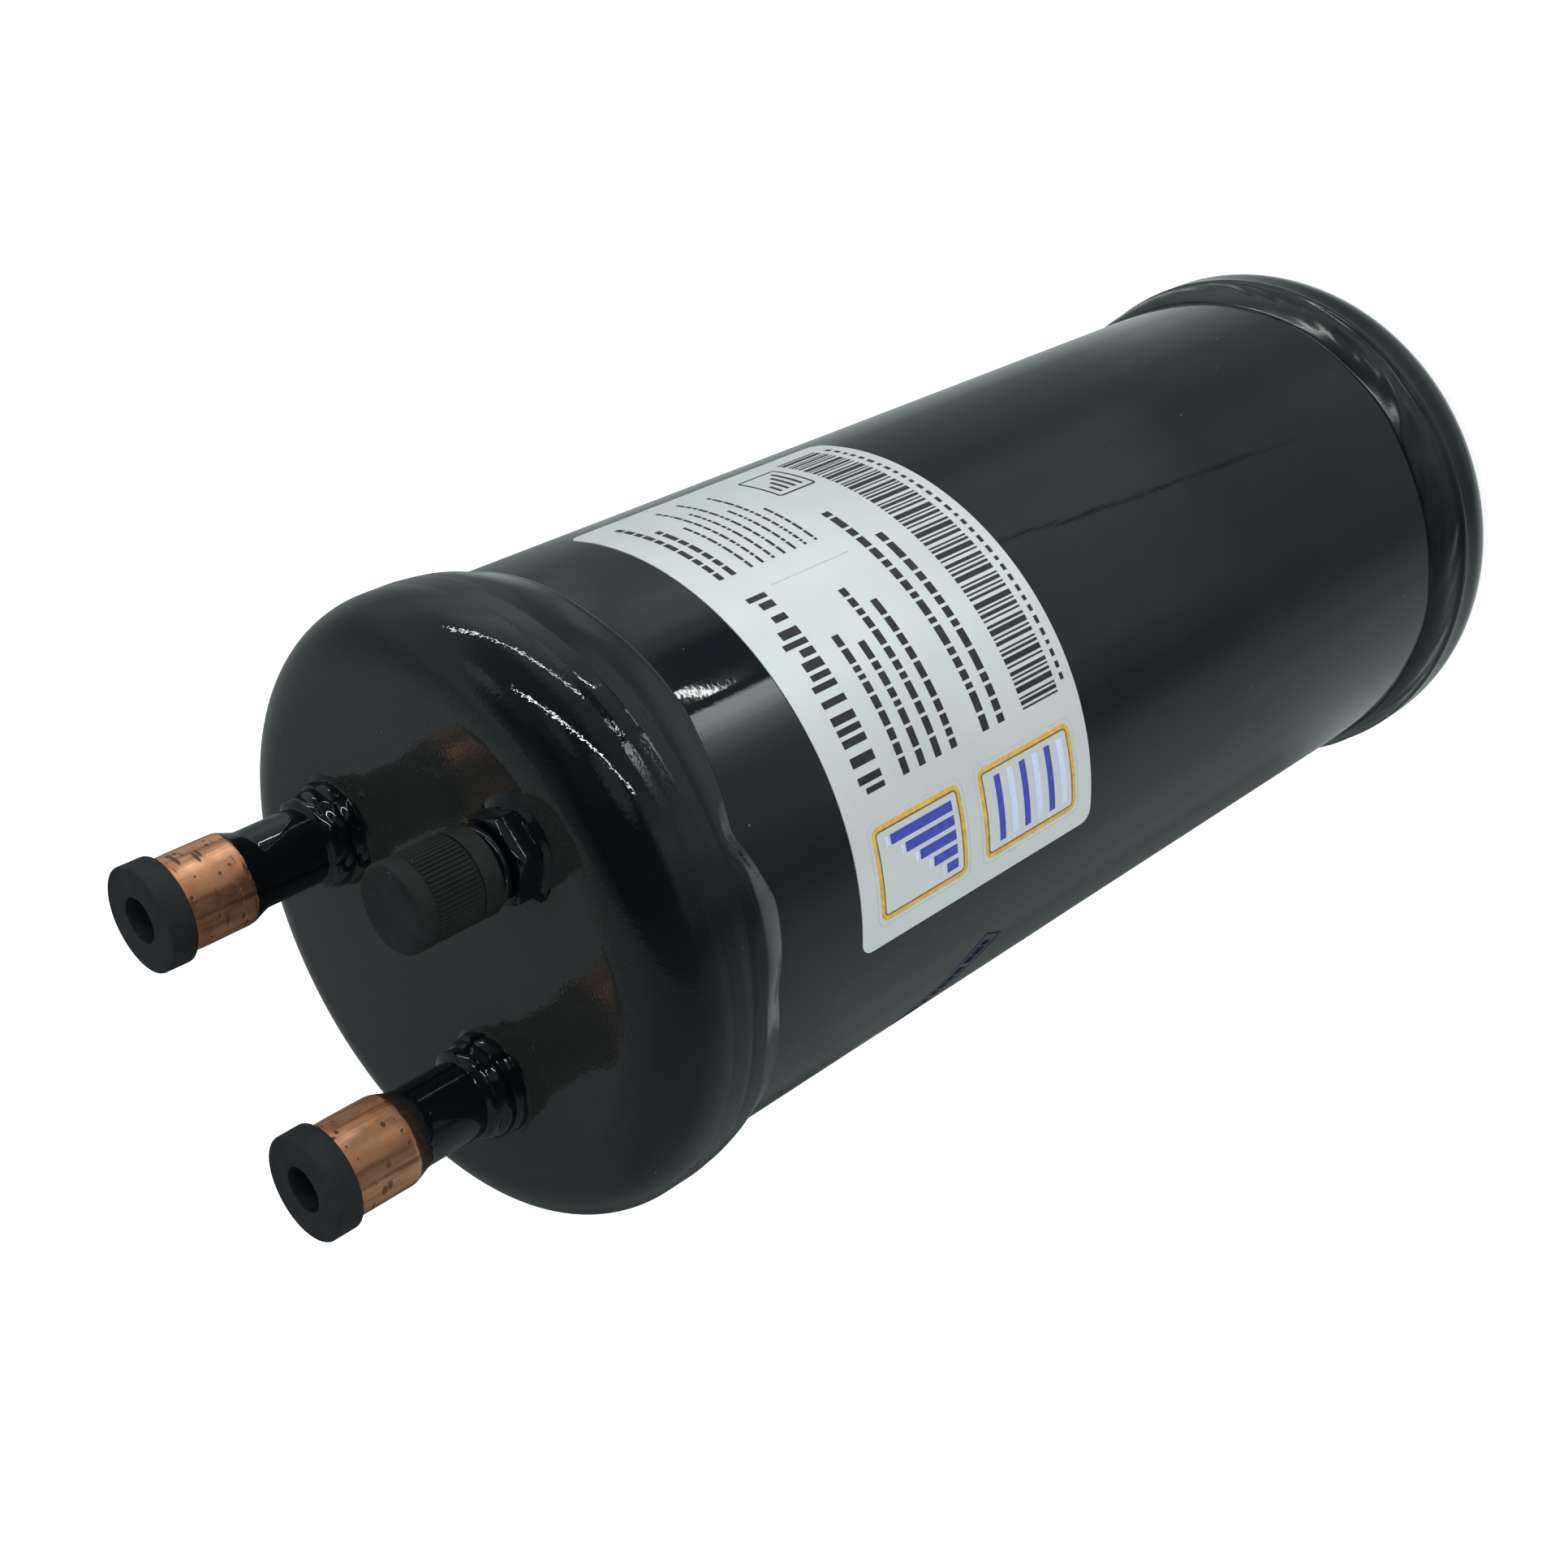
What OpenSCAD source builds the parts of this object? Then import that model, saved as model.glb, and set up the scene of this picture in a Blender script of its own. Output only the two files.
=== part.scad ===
// Refrigeration oil separator: an upright welded steel vessel with two solder
// sockets and a flare fitting on its top cap, a helical separator inside it,
// and a float valve in the oil sump. Millimetres, +Z up, the origin at the
// middle of the flat underside, the oil return fitting towards -Y.

/* [Vessel] */
// Outside diameter of the shell tube
shell_od = 101.6; // [100:0.1:103]
// Wall of the shell tube
shell_wall = 2.6; // [2:0.1:3]
// Height over both end caps
body_h = 243.5; // [238:0.5:250]
// Wall of the pressed end caps
cap_wall = 2.75; // [2.5:0.05:3]
// Outside radius of the caps' knuckle
knuckle_r = 11; // [10:0.5:12]
// Height of each end cap from its flat face to its edge
cap_h = 15.7; // [15:0.1:17]

/* [Seam welds] */
// Width of the top girth weld along the shell
top_seam_w = 14; // [12:0.5:15]
// Width of the bottom girth weld along the shell
bottom_seam_w = 9.7; // [8:0.1:11]

/* [Connections] */
// Radius of the circle that the two stubs stand on
stub_circle_r = 25.4; // [24:0.1:27]
// Angle of the stubs behind the X axis, in degrees
stub_angle = 20; // [15:1:25]
// Outside diameter of a stub's neck
neck_od = 12.9; // [12.7:0.1:13.2]
// Bore of a stub's neck
neck_id = 10.3; // [9.8:0.1:10.5]
// Outside diameter of the solder socket
socket_od = 15.5; // [15.2:0.1:15.8]
// Bore of the solder socket
socket_id = 12.8; // [12.75:0.05:12.9]
// Height of the socket's mouth above the cap's face
stub_h = 32; // [30:0.5:34]
// Depth of the solder socket
socket_depth = 11; // [10:0.5:12]
// Distance of the oil return fitting from the vessel's axis
fitting_r = 33; // [32:0.5:34]
// Hexagon across flats
hex_af = 13.5; // [13:0.1:14.5]
// Outside diameter of the flare thread
thread_d = 11.1; // [11:0.05:11.15]
// Pitch of the flare thread
thread_pitch = 1.27; // [1.25:0.01:1.3]

/* [Transport closures] */
// Diameter of the rubber plug's head
plug_d = 17.6; // [17:0.1:18.4]
// Thickness of the plug's head
plug_t = 4.7; // [4:0.1:5.5]
// Diameter of the blind hole in the plug
plug_hole_d = 7.6; // [6:0.2:8]
// Outside diameter of the plastic flare cap
fcap_d = 14.1; // [13.8:0.1:14.6]
// Length of the plastic flare cap
fcap_l = 15.1; // [14.5:0.1:15.5]
// Number of fine ribs around the flare cap
fcap_ribs = 60; // [48:2:64]

/* [Label] */
// Height of the label
label_h = 58.9; // [50:0.1:62]
// Start of the label around the shell, in degrees
label_a0 = -141.3; // [-150:0.1:-130]
// Arc covered by the label, in degrees
label_arc = 109.5; // [90:0.5:115]
// Height of the label's middle above the base
label_z = 170; // [165:0.5:175]

/* [Separator inside] */
// Pitch of the helical flight
helix_pitch = 26; // [22:1:30]
// Inside radius of the perforated liner
liner_ri = 39.8; // [38:0.1:40]
// Radius of the float ball
float_r = 21; // [19:0.5:21.5]

/* [Hidden] */
$fn = 72;

shell_r = shell_od / 2;
shell_ri = shell_r - shell_wall;
cap_r = shell_r + cap_wall;
shell_z0 = knuckle_r + 0.5;
shell_z1 = body_h - knuckle_r - 0.5;
neck_r = neck_od / 2;
pipe_ri = neck_id / 2;
mouth_z = body_h + stub_h;
stop_z = mouth_z - socket_depth;
stub_z0 = body_h - 7.5;
hex_r = hex_af / 2 / cos(30);
thread_r = thread_d / 2;
fcap_z0 = body_h + 7.8;
fcap_z1 = fcap_z0 + fcap_l;
fcap_roof = 2.2;
seal_t = 1.3;
nose_z = fcap_z1 - fcap_roof - seal_t;
black = [0.03, 0.033, 0.033];
copper = [0.72, 0.42, 0.27];
steel = [0.6, 0.6, 0.6];

// inner plan, heights above the base
liner_z0 = 118;
liner_z1 = 203;
baffle_t = 3;
helix_z0 = 136;
helix_z1 = 200;
core_z0 = 131;
core_r = 6.35;
tube_r = 2.4;
tube_y = -44;
float_y = 14;
float_z = 25;
pivot_y = -20;
pivot_z = 14;
seat_y = -33;
seat_z = 26;
floor_z = cap_wall;

module at_inlet() { rotate([0, 0, 180 - stub_angle]) translate([stub_circle_r, 0, 0]) children(); }
module at_outlet() { rotate([0, 0, stub_angle]) translate([stub_circle_r, 0, 0]) children(); }
module at_fitting() { translate([0, -fitting_r, 0]) children(); }

// Half section of a knuckled cap, the flat face at the height 0 and the edge at -h
module knuckle_section(r, kn, h) {
  translate([0, -kn]) square([r - kn, kn]);
  translate([0, -h]) square([r, h - kn]);
  intersection() {
    translate([r - kn, -kn]) circle(kn);
    translate([r - kn, -kn]) square([kn, kn]);
  }
}

module end_cap() {
  rotate_extrude() difference() {
    knuckle_section(cap_r, knuckle_r, cap_h);
    translate([0, -cap_wall]) knuckle_section(shell_r, knuckle_r - cap_wall, cap_h);
  }
}

module tube(ro, ri, h) {
  difference() {
    cylinder(r = ro, h = h);
    translate([0, 0, -1]) cylinder(r = ri, h = h + 2);
  }
}

// A bent tube swept along a route in the XZ plane: stations are [x, z, slope],
// the slope counted from straight down towards -X
module swept_tube(ro, ri, stations, m = 16) {
  n = len(stations);
  ring = function (s, r) [for (j = [0 : m - 1])
    [s[0] + r * cos(j * 360 / m) * cos(s[2]), r * sin(j * 360 / m), s[1] - r * cos(j * 360 / m) * sin(s[2])]];
  points = concat([for (s = stations) each ring(s, ro)], [for (s = stations) each ring(s, ri)]);
  o = n * m;
  e = o - m;
  polyhedron(points, concat(
    [for (i = [0 : n - 2], j = [0 : m - 1]) each let (k = (j + 1) % m, a = i * m + j, b = i * m + k)
      [[a, b, b + m], [a, b + m, a + m], [o + a, o + b + m, o + b], [o + a, o + a + m, o + b + m]]],
    [for (j = [0 : m - 1]) each let (k = (j + 1) % m)
      [[j, o + j, o + k], [j, o + k, k], [e + j, o + e + k, o + e + j], [e + j, e + k, o + e + k]]]));
}

// Stations of a tube that runs down from the origin, steps to -X by shift through
// two equal bends, and goes on down for run
function offset_route(bend_r, angle, shift, run, steps = 6) = let (
    slant = (shift - 2 * bend_r * (1 - cos(angle))) / sin(angle),
    drop = offset_drop(bend_r, angle, shift))
  concat(
    [for (i = [0 : steps]) let (t = angle * i / steps) [-bend_r * (1 - cos(t)), -bend_r * sin(t), t]],
    [for (i = [steps : -1 : 0]) let (t = angle * i / steps) [-shift + bend_r * (1 - cos(t)), -drop + bend_r * sin(t), t]],
    [[-shift, -drop - run, 0]]);
function offset_drop(bend_r, angle, shift) =
  2 * bend_r * sin(angle) + (shift - 2 * bend_r * (1 - cos(angle))) / sin(angle) * cos(angle);

module shell() {
  color(black) translate([0, 0, shell_z0]) tube(shell_r, shell_ri, shell_z1 - shell_z0);
}

module top_cap() {
  color(black) difference() {
    translate([0, 0, body_h]) end_cap();
    at_inlet() translate([0, 0, body_h - 8]) cylinder(r = neck_r, h = 16);
    at_outlet() translate([0, 0, body_h - 8]) cylinder(r = neck_r, h = 16);
    at_fitting() translate([0, 0, body_h - 8]) cylinder(r = 5, h = 16);
  }
}

module bottom_cap() {
  color(black) mirror([0, 0, 1]) end_cap();
}

// Girth weld: a low crown that fills the corner between a cap's edge and the shell
module seam(w, leg) {
  rotate_extrude() polygon([
    [shell_r, 0], [shell_r + leg, 0], [shell_r + leg * 0.985, w * 0.14],
    [shell_r + leg * 0.92, w * 0.30], [shell_r + leg * 0.78, w * 0.48],
    [shell_r + leg * 0.56, w * 0.66], [shell_r + leg * 0.30, w * 0.83],
    [shell_r + leg * 0.10, w * 0.95], [shell_r, w]]);
}

module top_seam_weld() {
  color(black) translate([0, 0, body_h - cap_h]) mirror([0, 0, 1]) seam(top_seam_w, cap_wall - 0.05);
}

module bottom_seam_weld() {
  color(black) translate([0, 0, cap_h]) seam(bottom_seam_w, cap_wall - 0.65);
}

module stub() {
  color(copper) rotate_extrude() polygon([
    [pipe_ri, stub_z0], [neck_r, stub_z0], [neck_r, body_h + 17.3], [socket_od / 2 - 0.3, body_h + 20],
    [socket_od / 2, body_h + 20.8], [socket_od / 2, mouth_z - 0.25], [socket_od / 2 - 0.25, mouth_z],
    [socket_id / 2, mouth_z], [socket_id / 2, stop_z], [pipe_ri, stop_z - 2.6]]);
}
module inlet_stub() { at_inlet() stub(); }
module outlet_stub() { at_outlet() stub(); }

// Three smooth weld passes, one over the other, around the stub's root
module stub_weld() {
  color(black) rotate_extrude() polygon([
    [neck_r, body_h], [9.3, body_h], [9.35, body_h + 0.7], [9.1, body_h + 1.5], [8.6, body_h + 2.0],
    [8.75, body_h + 2.5], [8.65, body_h + 3.4], [8.1, body_h + 4.0], [8.15, body_h + 4.6],
    [7.85, body_h + 5.4], [6.95, body_h + 6.1], [neck_r, body_h + 6.3]]);
}
module inlet_stub_weld() { at_inlet() stub_weld(); }
module outlet_stub_weld() { at_outlet() stub_weld(); }

// Rubber plug: a thick head on the mouth and a shank in the socket, with a blind hole
module plug() {
  r = plug_d / 2;
  s = socket_id / 2 - 0.06;
  h = plug_hole_d / 2;
  color([0.06, 0.06, 0.065]) rotate_extrude() polygon([
    [0, mouth_z - 9.5], [s - 1, mouth_z - 9.5], [s, mouth_z - 8.2], [s, mouth_z], [r - 0.35, mouth_z],
    [r, mouth_z + 0.35], [r, mouth_z + plug_t - 0.4], [r - 0.4, mouth_z + plug_t], [h + 0.2, mouth_z + plug_t],
    [h, mouth_z + plug_t - 0.2], [h, mouth_z - 5.5], [h - 1, mouth_z - 6.5], [0, mouth_z - 6.5]]);
}
module inlet_plug() { at_inlet() plug(); }
module outlet_plug() { at_outlet() plug(); }

// Flare fitting: shank through the cap, round foot, hexagon, neck, a rounded
// collar that the cap screws down to, threaded barrel (closed rings of the
// thread's pitch) and a 45 degree flare nose, bored through
module oil_return_fitting() {
  z0 = body_h + 7.9;
  turns = floor((nose_z - 2.4 - z0) / thread_pitch);
  color([0.05, 0.05, 0.05]) at_fitting() difference() {
    union() {
      rotate_extrude() polygon(concat(
        [[0, body_h - 5], [5, body_h - 5], [5, body_h], [7, body_h], [7, body_h + 0.9], [4.7, body_h + 0.9],
         [4.7, body_h + 5.6], [6, body_h + 5.75], [6.3, body_h + 6.2], [6.3, body_h + 6.8], [6, body_h + 7.2],
         [thread_r - 0.5, body_h + 7.3]],
        [for (i = [0 : turns - 1]) each [[thread_r, z0 + i * thread_pitch], [thread_r - 0.6, z0 + (i + 0.5) * thread_pitch]]],
        [[thread_r, z0 + turns * thread_pitch], [thread_r, nose_z - 2.4],
         [thread_r - 0.6, nose_z - 1.8], [thread_r - 2.4, nose_z], [0, nose_z]]));
      intersection() {
        translate([0, 0, body_h + 0.9]) cylinder(r = hex_r, h = 4.1, $fn = 6);
        rotate_extrude() polygon([
          [0, body_h + 0.9], [hex_r - 0.5, body_h + 0.9], [hex_r + 0.1, body_h + 1.3],
          [hex_r + 0.1, body_h + 4.4], [hex_r - 0.9, body_h + 5], [0, body_h + 5]]);
      }
    }
    translate([0, 0, body_h - 6]) cylinder(r = 2.4, h = 40);
  }
}

module fitting_braze() {
  color(black) at_fitting() rotate_extrude() polygon([
    [7, body_h], [8.9, body_h], [8.3, body_h + 0.25], [7.4, body_h + 0.75], [7, body_h + 0.85]]);
}

// Plastic screw cap: plain rim, a band of fine ribs, a plain collar
module fitting_cap() {
  r = fcap_d / 2;
  rib_z0 = fcap_z0 + 3.4;
  rib_z1 = fcap_z1 - 3.2;
  color([0.1, 0.1, 0.105]) at_fitting() {
    difference() {
      rotate_extrude() polygon([
        [0, fcap_z0], [r - 0.3, fcap_z0], [r, fcap_z0 + 0.3], [r, rib_z0], [r - 0.35, rib_z0 + 0.35],
        [r - 0.35, rib_z1 - 0.35], [r, rib_z1], [r, fcap_z1 - 0.8], [r - 0.25, fcap_z1 - 0.25],
        [r - 0.8, fcap_z1], [0, fcap_z1]]);
      translate([0, 0, fcap_z0 - 1]) cylinder(r = thread_r + 0.07, h = fcap_l - fcap_roof + 1);
    }
    for (i = [0 : fcap_ribs - 1]) rotate([0, 0, i * 360 / fcap_ribs])
      translate([r - 0.7, -0.2, rib_z0 + 0.2]) cube([0.68, 0.4, rib_z1 - rib_z0 - 0.4]);
  }
}

module cap_seal() {
  color([0.08, 0.08, 0.08]) at_fitting() translate([0, 0, nose_z]) cylinder(r = thread_r - 0.1, h = seal_t);
}

// Adhesive label: a thin curved sheet
module label_band(a0, a1, h) {
  rotate([0, 0, a0]) rotate_extrude(angle = a1 - a0) translate([shell_r, label_z - h / 2]) square([0.15, h]);
}
module label() {
  color([0.85, 0.87, 0.88]) label_band(label_a0, label_a0 + label_arc, label_h);
}

// Outlet pipe: from under the outlet stub across to the vessel's axis and down
// through the helix
module outlet_pipe() {
  drop = offset_drop(16, 60, stub_circle_r);
  color(steel) rotate([0, 0, stub_angle]) translate([stub_circle_r, 0, stub_z0])
    swept_tube(core_r, pipe_ri, offset_route(16, 60, stub_circle_r, stub_z0 - drop - core_z0), 24);
}

// Helical flight: a flat strip swept around the outlet pipe and upwards
module helix() {
  t = 1.2;
  ri = core_r + 0.25;
  ro = liner_ri - 0.4;
  rise = helix_z1 - helix_z0 - t;
  steps = 90;
  turn = 360 * rise / helix_pitch / steps;
  points = [for (i = [0 : steps]) let (a = i * turn, z = helix_z0 + rise * i / steps)
    each [[ri * cos(a), ri * sin(a), z], [ro * cos(a), ro * sin(a), z],
          [ro * cos(a), ro * sin(a), z + t], [ri * cos(a), ri * sin(a), z + t]]];
  color([0.55, 0.55, 0.53]) polyhedron(points, concat(
    [[0, 3, 2], [0, 2, 1]],
    [for (i = [0 : steps - 1], j = [0 : 3]) each let (a = i * 4 + j, b = i * 4 + (j + 1) % 4)
      [[a, b, b + 4], [a, b + 4, a + 4]]],
    [let (e = steps * 4) [e, e + 1, e + 2], let (e = steps * 4) [e, e + 2, e + 3]]));
}

module screen_liner() {
  rows = 6;
  color([0.62, 0.62, 0.6]) translate([0, 0, liner_z0]) difference() {
    tube(liner_ri + 0.8, liner_ri, liner_z1 - liner_z0);
    for (k = [0 : rows - 1], i = [0 : 13])
      translate([0, 0, 9 + k * 13.4]) rotate([0, 0, (i + (k % 2) / 2) * 360 / 14 + 5])
        translate([liner_ri - 2, 0, 0]) rotate([0, 90, 0]) cylinder(r = 3, h = 6);
  }
}

module inlet_ring() {
  color(steel) translate([0, 0, liner_z1]) difference() {
    tube(shell_ri, liner_ri - 1.8, 1.5);
    translate([0, tube_y, -1]) cylinder(r = tube_r + 0.15, h = 4);
  }
}

module exit_screen() {
  color([0.62, 0.62, 0.6]) translate([0, 0, liner_z0]) difference() {
    cylinder(r = 15, h = 15);
    translate([0, 0, -1]) cylinder(r = 14.2, h = 15.2);
    translate([0, 0, 10]) cylinder(r = core_r + 0.1, h = 10);
    for (k = [0 : 1], i = [0 : 11]) translate([0, 0, 4 + k * 5]) rotate([0, 0, (i + k / 2) * 30])
      translate([12, 0, 0]) rotate([0, 90, 0]) cylinder(r = 1.6, h = 6);
  }
}

module baffle_plate() {
  color(steel) translate([0, 0, liner_z0 - baffle_t]) difference() {
    cylinder(r = shell_ri, h = baffle_t);
    for (i = [0 : 11]) if (i != 9) rotate([0, 0, i * 30]) translate([44.3, 0, -1]) cylinder(r = 2, h = baffle_t + 2);
    for (i = [0 : 5]) rotate([0, 0, i * 60 + 30]) translate([28, 0, -1]) cylinder(r = 3, h = baffle_t + 2);
    translate([0, tube_y, -1]) cylinder(r = tube_r + 0.15, h = baffle_t + 2);
  }
}

module oil_return_tube() {
  z0 = body_h - 5;
  shift = -tube_y - fitting_r;
  drop = offset_drop(8, 45, shift);
  color([0.7, 0.45, 0.3]) at_fitting() translate([0, 0, z0]) rotate([0, 0, 90])
    swept_tube(tube_r, tube_r - 0.7, offset_route(8, 45, shift, z0 - drop - (seat_z + 6)), 12);
}

// Bracket in the sump: a base strip and two cheeks that carry block and pin
module float_bracket() {
  color(steel) difference() {
    union() {
      translate([-9.5, -38, floor_z]) cube([19, 26, 1.5]);
      for (x = [-9.5, 8]) translate([x, -38, floor_z]) cube([1.5, 26, 20]);
      for (x = [-9.5, 8]) translate([x, -38, floor_z]) cube([1.5, 11, 35]);
    }
    translate([-20, pivot_y, pivot_z]) rotate([0, 90, 0]) cylinder(r = 2, h = 40);
    translate([0, -16, floor_z - 1]) cylinder(r = 2.2, h = 4);
  }
}

// Valve block between the cheeks, with the seat drilled from below, a cross
// drilling and a socket for the return tube
module valve_block() {
  color([0.72, 0.6, 0.3]) difference() {
    union() {
      translate([-8, -43, seat_z]) cube([16, 16, 14]);
      translate([-4, -47.3, seat_z]) cube([8, 4.4, 14]);
    }
    translate([0, tube_y, seat_z + 6]) cylinder(r = tube_r, h = 20);
    translate([0, tube_y, seat_z + 4]) cylinder(r = 1.4, h = 4);
    translate([0, tube_y, seat_z + 5]) rotate([-90, 0, 0]) cylinder(r = 1.2, h = seat_y - tube_y);
    translate([0, seat_y, seat_z - 1]) cylinder(r = 1.25, h = 6.5);
  }
}

module needle() {
  color(steel) translate([0, seat_y, 0]) rotate_extrude() polygon([
    [0, 9.6], [1.2, 9.6], [1.2, 10.2], [3.2, 10.2], [3.2, 11.9], [1.2, 11.9], [1.2, 16.1], [3.2, 16.1],
    [3.2, 17.6], [2.2, 17.6], [2.2, 24], [0.2, 27.4], [0, 27.4]]);
}

// Lever: hub on the pin, a tongue with an eye around the needle, a rod to the float
module float_arm() {
  reach = norm([float_y - pivot_y, float_z - pivot_z]);
  tilt = atan2(float_z - pivot_z, float_y - pivot_y);
  color(steel) difference() {
    union() {
      translate([-5, pivot_y, pivot_z]) rotate([0, 90, 0]) cylinder(r = 4, h = 10);
      translate([-3.6, seat_y, pivot_z - 0.75]) cube([7.2, pivot_y - seat_y, 1.5]);
      translate([0, seat_y, pivot_z - 0.75]) cylinder(r = 3.6, h = 1.5);
      translate([0, pivot_y, pivot_z]) rotate([tilt, 0, 0]) rotate([-90, 0, 0]) cylinder(r = 2, h = reach - float_r + 2);
    }
    translate([-20, pivot_y, pivot_z]) rotate([0, 90, 0]) cylinder(r = 2.06, h = 40);
    translate([0, seat_y, 0]) cylinder(r = 2.3, h = 40);
    translate([0, float_y, float_z]) sphere(r = float_r);
  }
}

module float_pin() {
  color(steel) translate([-11.5, pivot_y, pivot_z]) rotate([0, 90, 0]) cylinder(r = 2, h = 23);
}

module pin_clips() {
  color([0.3, 0.3, 0.32]) for (x = [-10.4, 9.6]) translate([x, pivot_y, pivot_z]) rotate([0, 90, 0]) tube(3.6, 2, 0.8);
}

// Half of the float ball, a thin pressed bowl
module float_half(up) {
  color([0.7, 0.7, 0.7]) translate([0, float_y, float_z]) mirror([0, 0, up ? 0 : 1]) rotate_extrude()
    intersection() {
      difference() { circle(float_r); circle(float_r - 0.6); }
      square(float_r + 1);
    }
}
module float_upper_half() { float_half(true); }
module float_lower_half() { float_half(false); }

module magnet() {
  color([0.25, 0.25, 0.27]) translate([28, 8, floor_z]) cylinder(r = 8, h = 6);
}

module magnet_holder() {
  color(steel) translate([28, 8, floor_z]) union() {
    tube(9, 8, 5);
    difference() { cylinder(r = 11, h = 1); translate([0, 0, -1]) cylinder(r = 8, h = 4); }
  }
}

shell();
top_cap();
bottom_cap();
top_seam_weld();
bottom_seam_weld();
inlet_stub();
outlet_stub();
inlet_stub_weld();
outlet_stub_weld();
inlet_plug();
outlet_plug();
oil_return_fitting();
fitting_braze();
fitting_cap();
cap_seal();
label();
outlet_pipe();
helix();
screen_liner();
inlet_ring();
exit_screen();
baffle_plate();
oil_return_tube();
float_bracket();
valve_block();
needle();
float_arm();
float_pin();
pin_clips();
float_upper_half();
float_lower_half();
magnet();
magnet_holder();
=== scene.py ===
import math

import bpy
import numpy as np
from mathutils import Matrix, Vector
from mathutils.geometry import delaunay_2d_cdt


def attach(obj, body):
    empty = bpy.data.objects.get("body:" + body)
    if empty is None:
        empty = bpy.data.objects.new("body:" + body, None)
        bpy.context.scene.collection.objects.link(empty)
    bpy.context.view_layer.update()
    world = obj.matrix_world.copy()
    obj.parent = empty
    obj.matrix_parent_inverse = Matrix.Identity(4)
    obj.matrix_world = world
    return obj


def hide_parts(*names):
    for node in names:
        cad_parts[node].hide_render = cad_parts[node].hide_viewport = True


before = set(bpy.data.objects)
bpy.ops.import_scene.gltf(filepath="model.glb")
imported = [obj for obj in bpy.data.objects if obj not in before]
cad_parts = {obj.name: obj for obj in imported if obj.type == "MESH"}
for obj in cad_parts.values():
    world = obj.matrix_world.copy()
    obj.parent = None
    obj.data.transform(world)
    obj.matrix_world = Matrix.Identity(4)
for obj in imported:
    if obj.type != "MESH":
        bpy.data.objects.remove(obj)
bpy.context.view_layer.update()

MM = 0.001
TAU = 2 * math.pi

# ---------------------------------------------------------------- dimensions, mm
SHELL_R, SHELL_RI = 50.8, 48.2
CAP_R, CAP_WALL, KNUCKLE = 53.55, 2.75, 11.0
BODY_H, CAP_H = 243.5, 15.7
MOUTH = 275.5
STUB_R = 25.4
INLET = (-STUB_R * math.cos(math.radians(20)), STUB_R * math.sin(math.radians(20)))
OUTLET = (STUB_R * math.cos(math.radians(20)), STUB_R * math.sin(math.radians(20)))
FITTING = (0.0, -33.0)
LABEL_A0, LABEL_A1 = math.radians(-141.3), math.radians(-31.8)
LABEL_Z0, LABEL_Z1 = 140.55, 199.45


# ---------------------------------------------------------------- mesh helpers
def put(name, verts, faces, mats, body, stands_for=(), face_mats=None, sharp=38, smooth=True):
    """One piece from vertices in millimetres, riding on a body."""
    me = bpy.data.meshes.new(name)
    me.from_pydata([tuple(v) for v in np.asarray(verts, float) * MM], [], [tuple(map(int, f)) for f in faces])
    for m in mats:
        me.materials.append(m)
    if face_mats is not None:
        me.polygons.foreach_set("material_index", np.asarray(face_mats, np.int32))
    if smooth:
        me.shade_smooth()
        me.set_sharp_from_angle(angle=math.radians(sharp))
    me.update()
    o = bpy.data.objects.new(name, me)
    bpy.context.scene.collection.objects.link(o)
    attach(o, body)
    if stands_for:
        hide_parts(*stands_for)
    return o


def rounded(points, closed=True, n=6):
    """A section [(r, z, fillet)] with its corners rounded."""
    out, m = [], len(points)
    for i, p in enumerate(points):
        f = p[2] if len(p) > 2 else 0
        c = np.array(p[:2], float)
        if f <= 0 or (not closed and i in (0, m - 1)):
            out.append(c)
            continue
        a, b = np.array(points[i - 1][:2]) - c, np.array(points[(i + 1) % m][:2]) - c
        la, lb = np.linalg.norm(a), np.linalg.norm(b)
        a, b = a / la, b / lb
        ang = math.acos(max(-1, min(1, float(a @ b))))
        if ang > math.pi - 1e-3:
            out.append(c)
            continue
        t = min(f / math.tan(ang / 2), 0.49 * la, 0.49 * lb)
        f = t * math.tan(ang / 2)
        mid = c + (a + b) / np.linalg.norm(a + b) * f / math.sin(ang / 2)
        s, e = c + a * t - mid, c + b * t - mid
        a0 = math.atan2(s[1], s[0])
        d = (math.atan2(e[1], e[0]) - a0 + math.pi) % TAU - math.pi
        out += [mid + f * np.array([math.cos(a0 + d * k / n), math.sin(a0 + d * k / n)]) for k in range(n + 1)]
    return np.array(out)


def refine(points, closed=True, step=3.0, support=0.18):
    """Adds points along straight runs, and one close to each end of a run, so that shading stays flat there."""
    out, m = [], len(points)
    for i in range(m):
        p = points[i]
        out.append(p)
        if i == m - 1 and not closed:
            break
        q = points[(i + 1) % m]
        ln = np.linalg.norm(q - p)
        if ln < 1.2:
            continue
        n = max(1, int(math.ceil((ln - 2 * support) / step)))
        for t in [support / ln] + [support / ln + (1 - 2 * support / ln) * k / n for k in range(1, n)] + [1 - support / ln]:
            out.append(p + (q - p) * t)
    return np.array(out)


def curve(points, n=6):
    """A smooth open line through the points."""
    p = np.array(points, float)
    q = np.vstack([2 * p[0] - p[1], p, 2 * p[-1] - p[-2]])
    out = []
    for i in range(1, len(q) - 2):
        a, b, c, d = q[i - 1:i + 3]
        for k in range(n):
            t = k / n
            out.append(0.5 * (2 * b + (c - a) * t + (2 * a - 5 * b + 4 * c - d) * t * t + (3 * b - a - 3 * c + d) * t ** 3))
    out.append(p[-1])
    return np.array(out)


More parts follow.
